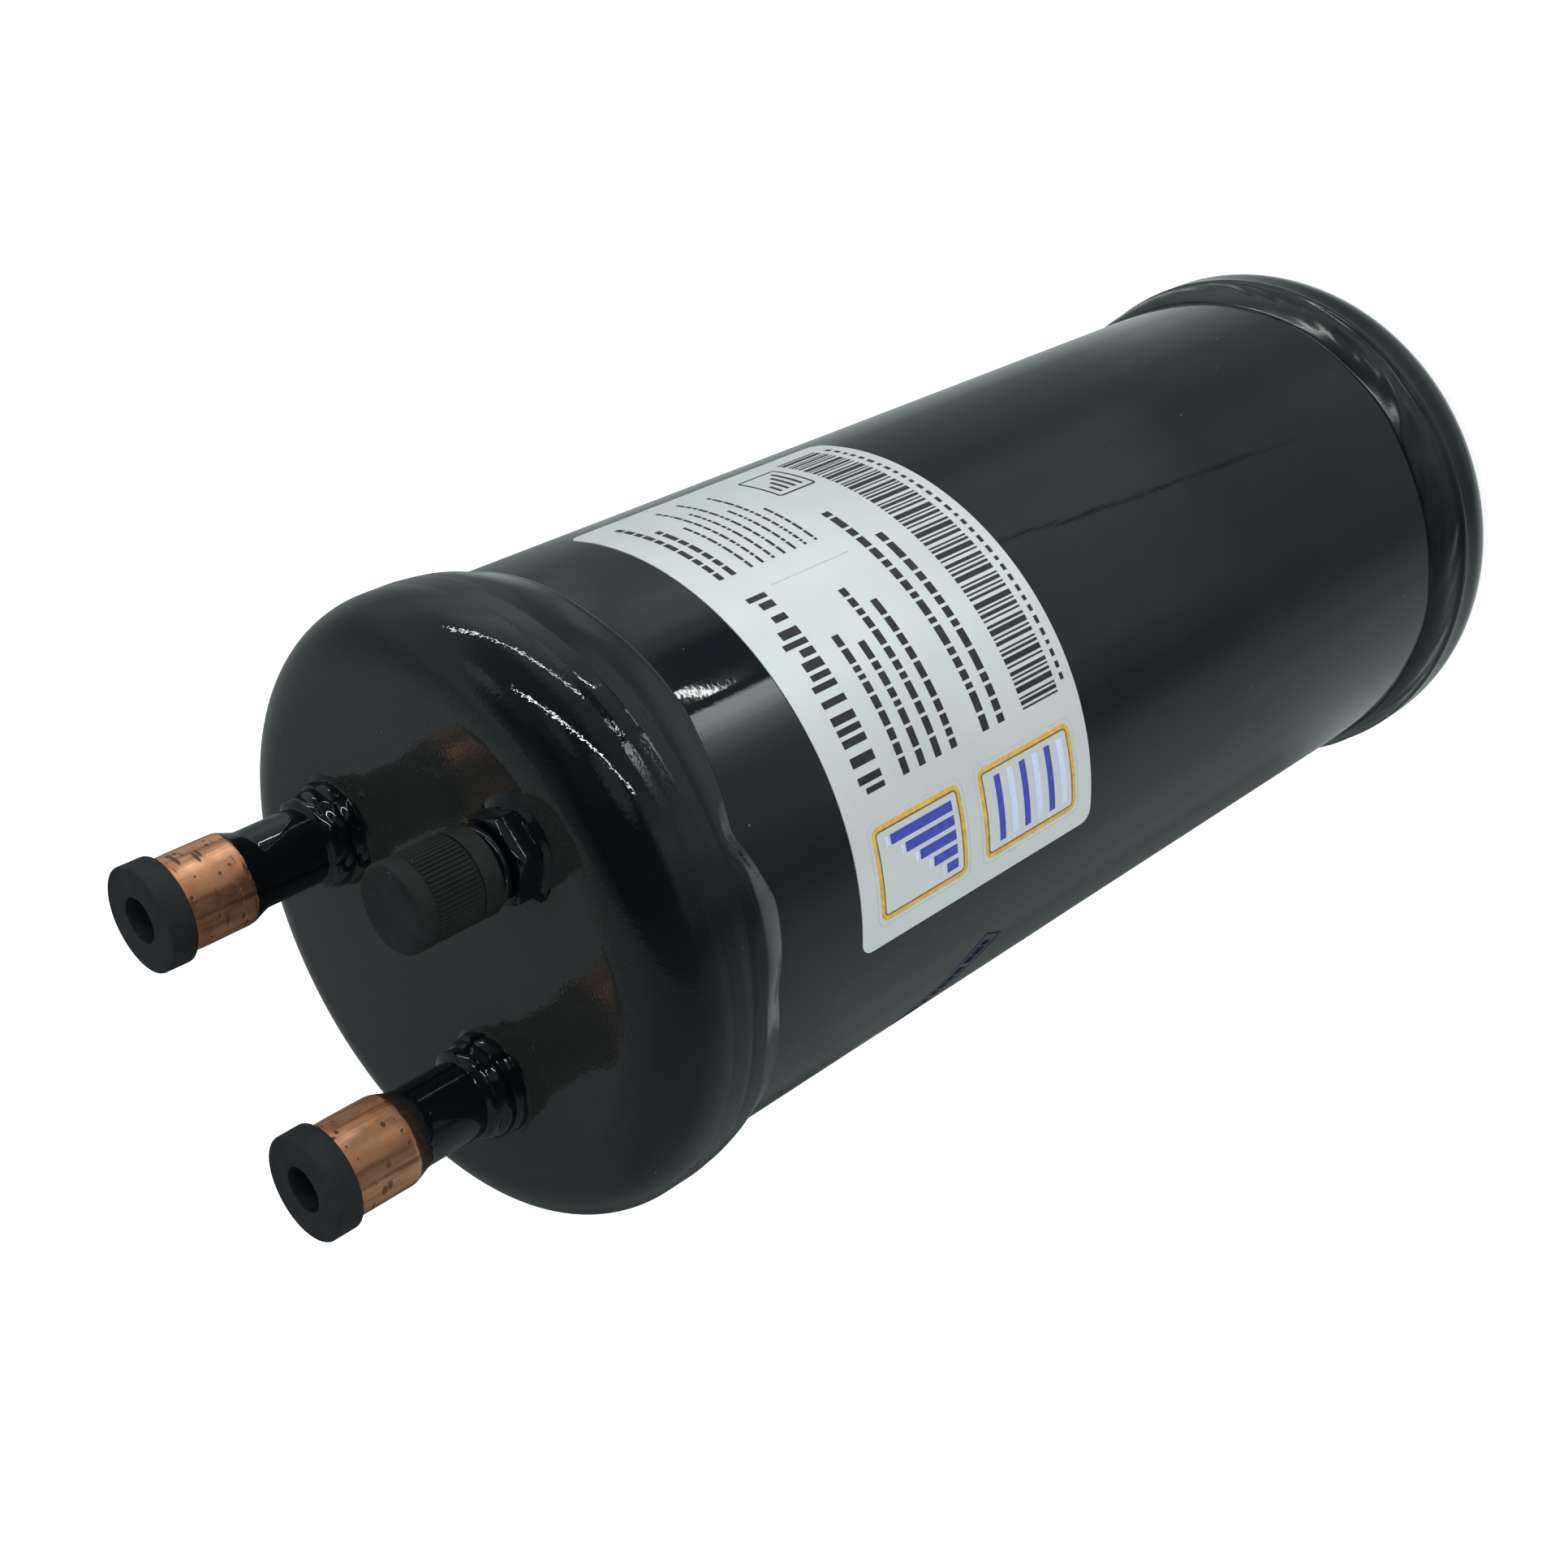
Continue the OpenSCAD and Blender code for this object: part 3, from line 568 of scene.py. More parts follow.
# ---------------------------------------------------------------- stubs, their welds and plugs
def stub(name, node, at, metal_mat, paint_z, paint_amp, seed):
    """Drawn tube, swaged out to a socket. The paint ends in a ragged line on the swage."""
    sec = refine(rounded([(5.15, 236.0, 0.25), (6.45, 236.0, 0.25), (6.45, 260.6, 4.5), (7.75, 264.2, 3.0), (7.75, MOUTH, 0.3), (6.4, MOUTH, 0.25), (6.4, 264.5, 0.2), (5.15, 261.9, 0.3)], n=8), step=0.8)
    rows = [tuple(p) for p in sec]
    i = next(k for k in range(len(rows) - 1) if rows[k][0] > 6.3 and rows[k][1] <= paint_z < rows[k + 1][1])
    t = (paint_z - rows[i][1]) / (rows[i + 1][1] - rows[i][1])
    at_edge = (rows[i][0] + t * (rows[i + 1][0] - rows[i][0]), paint_z)
    rows[i + 1:i + 1] = [at_edge, at_edge]
    n_paint = i + 1
    ragged, dents = waves(seed, [2, 3, 5, 8, 13, 21, 34, 55], paint_amp), waves(seed + 1, [2, 3, 4, 6, 7], 0.055)
    idx = np.arange(len(rows))[:, None]

    def warp(r, z, th):
        outer = (r > 6.42) & (z > 244)
        near = np.exp(-((z - paint_z) / 1.3) ** 2)
        z2 = z + np.where(outer, ragged(th) * near, 0)
        r2 = r + np.where(outer & (idx <= n_paint), 0.07, 0)
        r2 = r2 + np.where((r > 7.7), dents(th + 0.05 * z) * smooth01((274.8 - z) / 3), 0)
        return r2, z2

    v, f, ring = turned(rows, 160, at, warp=warp)
    ring = np.array(ring)
    zs = np.array([p[1] for p in rows])
    rs = np.array([p[0] for p in rows])
    painted = (ring <= n_paint) & (rs[ring] > 6.3)
    put(name, v, f, [metal_mat, BLACK_TUBE_PAINTED_SHADE], "vessel", [node], np.where(painted, 1, 0))


def stub_weld(name, node, at, seed, weave):
    """Three smooth weld passes, one over the other, the middle one askew, drowned in paint; weave is the depth of slanting ripples."""
    z = np.concatenate([np.linspace(243.46, 244.2, 8)[:-1], np.linspace(244.2, 249.4, 50)[:-1], np.linspace(249.4, 250.3, 11)])
    core = np.interp(z, [243.46, 243.75, 244.6, 246.5, 248.4, 249.5, 250.0, 250.3], [9.5, 8.9, 8.2, 7.6, 7.1, 6.8, 6.55, 6.43])
    p = np.vstack([np.c_[core, z], [[6.43, 243.46]]])
    passes = [(248.3, 1.75, 7.95, 0.35), (246.3, 1.80, 8.45, 0.85), (244.4, 1.60, 8.90, 0.25)]
    way = [(waves(seed + 7 * i, [1, 2, 3], tilt), waves(seed + 7 * i + 3, [2, 3, 5, 7], 0.13)) for i, (_, _, _, tilt) in enumerate(passes)]
    sag, slip = waves(seed + 31, [3, 5, 8], 0.25), waves(seed + 33, [2, 3, 5], 0.9)

    def warp(r, z, t):
        out = r > 6.5
        sharp = 4.0
        total = np.exp(sharp * (r - 8.0))
        for i, ((z0, half, top, _), (tilt, lump)) in enumerate(zip(passes, way)):
            q = np.clip((z - z0 - tilt(t)) / half, -1.0, 1.0)
            slant = np.sin(10 * t + 1.5 * (z - z0) + slip(t) + 2.1 * i)
            crown = top + lump(t + 0.2 * z) + weave * slant - half * 0.75 * (1 - np.sqrt(1.0001 - q * q))
            total = total + np.exp(sharp * (crown - 8.0)) * smooth01((1 - np.abs(q)) / 0.1)
        r2 = 8.0 + np.log(total) / sharp - 0.16
        r2 = r + (r2 - r) * smooth01((250.2 - z) / 0.8) * smooth01((z - 243.47) / 0.25)
        return np.where(out, np.maximum(r2 + smooth01((244.1 - z) / 0.6) * sag(t), 6.44), r), z

    v, f, _ = turned(p, 300, at, warp=warp)
    put(name, v, f, [BLACK_TUBE_PAINTED_SHADE], "vessel", [node], sharp=75)


stub("outlet_stub_tube", "outlet_stub", OUTLET, COPPER_OUT, 264.0, 0.16, 61)
stub("inlet_stub_tube", "inlet_stub", INLET, COPPER_IN, 260.9, 0.35, 71)
stub_weld("outlet_root_weld", "outlet_stub_weld", OUTLET, 81, 0.10)
stub_weld("inlet_root_weld", "inlet_stub_weld", INLET, 91, 0.035)


def plugs():
    """Rubber plugs: thick head, shank in the socket, blind hole. The mouldings are a little uneven."""
    for body, at, seed in (("outlet_plug", OUTLET, 101), ("inlet_plug", INLET, 111)):
        r, s, h = 8.8, 6.34, 3.8
        sec = rounded([(0, MOUTH - 9.5), (s, MOUTH - 9.5, 1.1), (s, MOUTH, 0.15), (r, MOUTH, 0.45), (r, MOUTH + 4.7, 0.38), (h, MOUTH + 4.7, 0.22), (h, MOUTH - 6.5, 0.9), (0, MOUTH - 6.5)], closed=False)
        sec = refine(sec, closed=False, step=1.2)
        un = waves(seed, [2, 3, 5], 0.05)

        def warp(rr, z, t):
            head = (rr > 8.0) & (z > MOUTH + 0.02)
            hole = (rr > 3.5) & (rr < 4.1) & (z > MOUTH - 5)
            return rr + np.where(head, un(t + 0.1 * z), 0) + np.where(hole, un(2 * t) * 0.8, 0), z

        v, f, _ = turned(sec, 144, at, closed=False, warp=warp)
        put(body + "_moulding", v, f, [RUBBER], body, [body])


plugs()


# ---------------------------------------------------------------- flare fitting
def fitting():
    """Shank, foot, hexagon with rounded corners, neck, rounded collar, a real right-hand thread, flare nose and bore."""
    pitch, major, depth = 1.27, 5.55, 0.68
    z0, z1 = 251.2, 260.5
    barrel = [(major, z) for z in np.arange(z0, z1 + 1e-6, 0.085)]
    hexa = [(7.8, z) for z in (244.45, 244.6, 244.8, 245.1, 245.6, 246.5, 247.4, 247.7, 247.9, 248.1, 248.3, 248.42, 248.5)]
    sec = [(2.4, 238.5), (5.0, 238.5), (5.0, 243.4), (7.0, 243.5), (7.0, 244.25), (7.0, 244.4)] + hexa + [(6.1, 248.56), (4.95, 248.6), (4.72, 248.72), (4.72, 248.95), (4.95, 249.08), (5.6, 249.16), (5.95, 249.27), (6.16, 249.45), (6.27, 249.68), (6.3, 249.95), (6.3, 250.2), (6.25, 250.45), (6.1, 250.62), (5.8, 250.74), (5.3, 250.8), (5.1, 250.95)] + barrel + [(4.95, 261.1), (3.15, 262.9), (2.9, 262.9), (2.4, 262.6)]
    sec = np.array(sec)
    # the bore, from the nose down to the shank
    sec = np.vstack([sec, [(2.4, 256.0), (2.4, 247.0)]])
    af = 13.5 / 2

    def warp(r, z, t):
        a = (t % (math.pi / 3)) - math.pi / 6
        hx = af / np.cos(a)
        hx = -0.20 * np.log(np.exp(-hx / 0.20) + np.exp(-(af / math.cos(math.pi / 6) - 0.05) / 0.20))
        top = 8.05 - np.maximum(0, (z - 247.75)) * 1.35
        low = 7.35 + np.maximum(0, (z - 244.4)) * 1.6
        c = np.minimum(top, low)
        hx = -0.13 * np.log(np.exp(-hx / 0.13) + np.exp(-c / 0.13))
        on_hex = (r == 7.8)
        ph = (z / pitch - t / TAU) % 1.0
        tri = np.abs(2 * ph - 1)
        cut = depth * smooth01((tri - 0.10) / 0.80)
        fade = smooth01((z - z0 + 0.1) / 0.9) * smooth01((z1 - z + 0.15) / 0.7)
        on_thread = (r == major) & (z >= z0 - 1e-6) & (z <= z1 + 1e-6)
        return np.where(on_hex, hx, np.where(on_thread, r - 0.03 - cut * fade - 0.45 * (1 - fade), r)), z

    v, f, ring = turned(sec, 240, FITTING, warp=warp)
    ring = np.array(ring)
    bare = (sec[ring][:, 1] > 250.9) | (sec[ring][:, 0] < 2.45)
    put("flare_fitting", v, f, [BLACK_TUBE_PAINTED_SHADE, BRASS], "vessel", ["oil_return_fitting"], np.where(bare, 1, 0), sharp=42)


def braze():
    """Braze fillet around the foot, a little uneven, with soft runs of paint."""
    lobe, rise = waves(131, [2, 3, 4, 5], 0.22), waves(132, [3, 5, 7], 0.05)
    p = np.array([(6.98, 243.46), (8.75, 243.46), (8.62, 243.52), (8.4, 243.60), (8.1, 243.74), (7.75, 243.94), (7.4, 244.16), (7.15, 244.30), (6.98, 244.34)])

    def warp(r, z, t):
        w = smooth01((r - 7.0) / 1.4)
        run = sum(h * np.exp(-((np.angle(np.exp(1j * (t - math.radians(a)))) / 0.24) ** 2)) for a, h in ((-48, 0.55), (-140, 0.45)))
        return r + (lobe(t) + run) * w, z + np.where(z > 243.5, rise(t) * w, 0)

    v, f, _ = turned(p, 240, FITTING, warp=warp)
    put("fitting_fillet", v, f, [BLACK_TUBE_PAINTED_SHADE], "vessel", ["fitting_braze"], sharp=60)


def flare_cap():
    """Plastic screw cap: plain rim, sixty fine ribs, plain collar, threaded bore."""
    r = 7.05
    z0, z1, roof = 251.3, 266.4, 264.2
    ra, rb = z0 + 3.4, z1 - 3.2
    ribz = [ra + 0.05, ra + 0.12, ra + 0.25, ra + 0.45, ra + 0.7] + list(np.linspace(ra + 1.2, rb - 1.2, 6)) + [rb - 0.7, rb - 0.45, rb - 0.25, rb - 0.12, rb - 0.05]
    sec = [(5.62, z0 + 0.4), (5.95, z0)] + [tuple(p) for p in rounded([(6.3, z0), (r, z0, 0.35), (r, ra, 0.12), (r - 0.3, ra + 0.04)], closed=False)[1:]]
    sec += [(r - 0.301, z) for z in ribz]
    sec += [tuple(p) for p in rounded([(r - 0.3, rb - 0.04), (r, rb, 0.12), (r, z1, 0.85), (0.0, z1)], closed=False)[:-1]]
    sec += [(5.6, z1), (3.0, z1), (0.6, z1), (0.6, roof), (3.0, roof), (5.3, roof)]
    bore = [(5.62, z) for z in np.arange(roof - 0.25, z0 + 0.5, -0.16)]
    sec = np.array(sec + bore)
    # the roof is closed at the axis on both faces
    top = next(i for i, p in enumerate(sec) if p[0] == 0.6)
    line = np.vstack([[0, roof], sec[top + 1:], sec[:top + 1], [0, z1]])

    def warp(rr, z, t):
        on = np.isclose(rr, r - 0.301)
        ends = smooth01((z - ra) / 0.45) * smooth01((rb - z) / 0.45)
        rib = smooth01((np.cos(60 * t) + 0.75) / 1.2)
        out = np.where(on, rr + 0.29 * rib * ends, rr)
        inside = np.isclose(rr, 5.62) & (z < roof - 0.3) & (z > z0 + 0.5)
        ph = np.abs(2 * ((z / 1.27 - t / TAU) % 1.0) - 1)
        fade = smooth01((z - z0 - 0.4) / 0.6) * smooth01((roof - 1.2 - z) / 0.6)
        return np.where(inside, out + 0.42 * smooth01(1 - ph) * fade, out), z

    v, f, _ = turned(line, 600, FITTING, closed=False, warp=warp)
    put("flare_screw_cap", v, f, [PLASTIC], "flare_cap", ["fitting_cap"], sharp=45)


fitting()
braze()
flare_cap()


# ---------------------------------------------------------------- label and print
def patch(a0, a1, z0, z1, r0, r1, corner=0.0, pitch=1.0):
    """A closed curved sheet on the shell between two angles and two heights, with rounded corners."""
    arc = (a1 - a0) * SHELL_R
    if corner > 0:
        q = [corner * (1 - math.cos(x)) for x in np.linspace(0, math.pi / 2, 7)]
        n = max(1, int((arc - 2 * corner) / pitch))
        s = q + [corner + (arc - 2 * corner) * k / n for k in range(1, n)] + [arc - x for x in q[::-1]]
    else:
        n = max(1, int(math.ceil(arc / pitch)))
        s = [arc * k / n for k in range(n + 1)]
    s = np.array(s)
    end = np.minimum(s, arc - s)
    inset = np.where(end < corner, corner - np.sqrt(np.maximum(0, corner ** 2 - (corner - end) ** 2)), 0) if corner > 0 else np.zeros(len(s))
    rows = max(2, int(round((z1 - z0) / 3.0)) + 1) if corner > 0 else 2
    t = np.linspace(0, 1, rows)
    th = a0 + s / SHELL_R
    lo, hi = z0 + inset, z1 - inset
    z = lo[:, None] + (hi - lo)[:, None] * t[None, :]
    th = np.repeat(th[:, None], rows, 1)
    n, m = th.shape
    sheets = [np.stack([r * np.cos(th), r * np.sin(th), z], -1).reshape(-1, 3) for r in (r1, r0)]
    v = np.vstack(sheets)
    o = n * m
    faces = []
    for i in range(n - 1):
        for j in range(m - 1):
            a, b, c, d = i * m + j, (i + 1) * m + j, (i + 1) * m + j + 1, i * m + j + 1
            faces += [[a, b, c, d], [o + d, o + c, o + b, o + a]]
    for i in range(n - 1):
        a, b = i * m, (i + 1) * m
        faces.append([b, a, o + a, o + b])
        a, b = i * m + m - 1, (i + 1) * m + m - 1
        faces.append([a, b, o + b, o + a])
    for j in range(m - 1):
        a, b = j, j + 1
        faces.append([a, b, o + b, o + a])
        a, b = (n - 1) * m + j, (n - 1) * m + j + 1
        faces.append([b, a, o + a, o + b])
    return v, faces


def gather(parts):
    vs, fs, n = [], [], 0
    for v, f in parts:
        vs.append(v)
        fs += [[x + n for x in q] for q in f]
        n += len(v)
    return np.vstack(vs), fs


v, f = patch(LABEL_A0, LABEL_A1, LABEL_Z0, LABEL_Z1, SHELL_R - 0.01, SHELL_R + 0.15, 2.4)
put("label_sheet", v, f, [FILM], "vessel", ["label"], sharp=30)

R_INK = (SHELL_R + 0.14, SHELL_R + 0.168)


def box_on(s0, z0, s1, z1, lift=0.0, corner=0.0):
    """A print field in label millimetres: s from the label's left edge, z up from its lower edge."""
    return patch(LABEL_A0 + s0 / SHELL_R, LABEL_A0 + s1 / SHELL_R, LABEL_Z0 + z0, LABEL_Z0 + z1, R_INK[0] + lift, R_INK[1] + lift, corner)


def frame_on(s0, z0, s1, z1, w, corner=1.8):
    """A rectangular outline of width w with rounded corners, as one closed ring."""
    lines = []
    for inset in (0.0, w):
        a0, a1, b0, b1, r = s0 + inset, s1 - inset, z0 + inset, z1 - inset, max(corner - inset, 0.15)
        line = []
        for (cs, cz), t0 in (((a1 - r, b0 + r), -90), ((a1 - r, b1 - r), 0), ((a0 + r, b1 - r), 90), ((a0 + r, b0 + r), 180)):
            turn = [(cs + r * math.cos(math.radians(t0 + 15 * i)), cz + r * math.sin(math.radians(t0 + 15 * i))) for i in range(7)]
            if line:
                line += [tuple(np.array(line[-1]) + (np.array(turn[0]) - line[-1]) * i / 18) for i in range(1, 18)]
            line += turn
        line += [tuple(np.array(line[-1]) + (np.array(line[0]) - line[-1]) * i / 18) for i in range(1, 18)]
        lines.append(line)
    n = len(lines[0])
    v = []
    for r in (R_INK[1], R_INK[0]):
        for line in lines:
            v += [(r * math.cos(LABEL_A0 + a / SHELL_R), r * math.sin(LABEL_A0 + a / SHELL_R), LABEL_Z0 + b) for a, b in line]
    faces = []
    for i in range(n):
        j = (i + 1) % n
        faces += [[i, j, n + j, n + i], [2 * n + i, 3 * n + i, 3 * n + j, 2 * n + j], [j, i, 2 * n + i, 2 * n + j], [n + i, n + j, 3 * n + j, 3 * n + i]]
    return [(np.array(v), faces)]


def bars(g, s0, s1, z0, h, lo, hi, gap, fill=1.0):
    """One line of plain bars of uneven length."""
    out, s = [], s0
    while s < s0 + (s1 - s0) * fill - lo * 0.6:
        w = min(g.uniform(lo, hi), s1 - s)
        out.append(box_on(s, z0, s + w, z0 + h))
        s += w + gap
    return out


g = np.random.RandomState(7)
black, gold, bronze, blue, grey, pale = [], [], [], [], [], []

# upper left: a gold-framed field with a blue rising step pattern
gold += frame_on(4.2, 33.2, 20.2, 54.4, 0.8)
bronze += frame_on(5.0, 34.0, 19.4, 53.6, 0.3, 0.95)
grey += frame_on(3.4, 32.4, 21.0, 55.2, 0.22)
for i in range(5):
    blue.append(box_on(6.3 + i * 2.5, 35.6, 8.0 + i * 2.5, 38.4 + i * 3.0))
    pale.append(box_on(6.3 + i * 2.5, 38.9 + i * 3.0, 8.0 + i * 2.5, 39.6 + i * 3.0))
# lower left: gold-framed field of level blue stripes
gold += frame_on(4.2, 4.4, 20.2, 28.6, 0.8)
bronze += frame_on(5.0, 5.2, 19.4, 27.8, 0.3, 0.95)
grey += frame_on(3.4, 3.6, 21.0, 29.4, 0.22)
for i in range(6):
    (blue if i % 2 else pale).append(box_on(6.4, 6.8 + i * 3.3, 18.0, 8.3 + i * 3.3))
# heading: a row of heavy upright bars of uneven height
s = 25.5
while s < 62.5:
    w = g.uniform(0.9, 1.7)
    black.append(box_on(s, 48.4, s + w, 48.4 + g.choice([3.0, 4.2, 5.2, 5.2])))
    s += w + g.choice([0.7, 0.7, 0.7, 1.6])
black += bars(g, 67.5, 93.0, 51.9, 1.15, 0.9, 3.2, 0.5)
black += bars(g, 67.5, 91.0, 49.2, 1.15, 0.9, 3.2, 0.5, 0.8)
# lines of short plain bars, left column
for i in range(4):
    black += bars(g, 25.5, 58.0, 42.6 - i * 3.9, 1.55, 0.8, 3.4, 0.55, (0.78, 0.70, 0.98, 0.84)[i])
# lines of finer bars, right column
for i in range(7):
    black += bars(g, 67.5, 94.0, 45.4 - i * 2.5, 0.62, 0.5, 2.4, 0.35, (0.55, 0.9, 0.75, 0.95, 0.6, 0.85, 0.4)[i])
grey.append(box_on(62.6, 28.0, 62.85, 46.0))
# small ruled field
black += frame_on(81.0, 16.2, 91.5, 25.2, 0.45, 0.8)
for i in range(4):
    black.append(box_on(82.6, 17.9 + i * 1.65, 89.9 - i * 1.5, 18.6 + i * 1.65))
black += bars(g, 25.5, 77.0, 22.8, 1.7, 0.9, 3.8, 0.6, 0.92)
black += bars(g, 25.5, 77.0, 18.8, 1.7, 0.9, 3.8, 0.6, 0.74)
# stripe field of a repeating measure
s = 25.5
for i in range(68):
    w = (0.34, 0.68, 0.34, 1.02, 0.5)[i % 5]
    if s + w > 93.0:
        break
    black.append(box_on(s, 4.6, s + w, 14.0))
    s += w + (0.42, 0.34, 0.68, 0.42)[i % 4]
black += bars(g, 27.0, 92.0, 2.2, 0.9, 0.7, 1.5, 0.9)

for name, parts, mat in (("print_black", black, INK_BLACK), ("print_gold", gold, INK_GOLD), ("print_bronze", bronze, INK_BRONZE), ("print_blue", blue, INK_BLUE), ("print_grey", grey, INK_GREY), ("print_pale_blue", pale, INK_PALE)):
    v, f = gather(parts)
    put(name, v, f, [mat], "vessel", smooth=False)


# a slanting stamped ink frame with plain marks on the shell
def slanted(l0, l1, w0, w1):
    """A closed sheet on the shell, l along the stamp and w across it, in millimetres."""
    def at(l, w): return -156.5 / 180 * math.pi * SHELL_R - 0.775 * l - 0.45 * w, 164.5 + 0.632 * l - 0.893 * w
    n = max(1, int(math.ceil((l1 - l0) / 1.0)))
    m = max(1, int(math.ceil((w1 - w0) / 1.0)))
    v = []
    for r in (SHELL_R + 0.018, SHELL_R - 0.01):
        for i in range(n + 1):
            for j in range(m + 1):
                a, z = at(l0 + (l1 - l0) * i / n, w0 + (w1 - w0) * j / m)
                v.append((r * math.cos(a / SHELL_R), r * math.sin(a / SHELL_R), z))
    o, k = (n + 1) * (m + 1), m + 1
    faces = []
    for i in range(n):
        for j in range(m):
            a, b, c, d = i * k + j, (i + 1) * k + j, (i + 1) * k + j + 1, i * k + j + 1
            faces += [[a, b, c, d], [o + d, o + c, o + b, o + a]]
        for a, b in ((i * k, (i + 1) * k), ((i + 1) * k + m, i * k + m)):
            faces.append([b, a, o + a, o + b])
    for j in range(m):
        for a, b in ((j + 1, j), (n * k + j, n * k + j + 1)):
            faces.append([b, a, o + a, o + b])
    return np.array(v), faces


stamp = [slanted(0, 26, 0, 0.4), slanted(0, 26, 5.4, 5.8), slanted(0, 0.4, 0.4, 5.4), slanted(25.6, 26, 0.4, 5.4)]
g = np.random.RandomState(17)
l = 1.8
while l < 23.0:
    w = g.uniform(0.7, 2.3)
    stamp.append(slanted(l, l + w, 1.5 + g.uniform(0, 0.4), 4.2 - g.uniform(0, 0.3)))
    l += w + g.choice([0.35, 0.35, 0.9])
v, f = gather(stamp)
put("stamp_frame", v, f, [INK_STAMP], "vessel", smooth=False)


# ---------------------------------------------------------------- finishes of the pieces that keep their CAD shape
KEPT = {
    "cap_seal": RUBBER, "outlet_pipe": STEEL, "helix": STEEL_FLAT, "screen_liner": STEEL, "inlet_ring": STEEL_FLAT,
    "exit_screen": STEEL, "baffle_plate": STEEL_FLAT, "oil_return_tube": TUBE_COPPER, "float_bracket": STEEL_FLAT,
    "valve_block": BRASS, "needle": STEEL, "float_arm": STEEL, "float_pin": STEEL, "pin_clips": STEEL_FLAT,
    "float_upper_half": STEEL_FLAT, "float_lower_half": STEEL_FLAT, "magnet": MAGNET, "magnet_holder": STEEL_FLAT,
}
for node, mat in KEPT.items():
    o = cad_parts[node]
    if not o.material_slots:
        o.data.materials.append(mat)
    for s in o.material_slots:
        s.material = mat


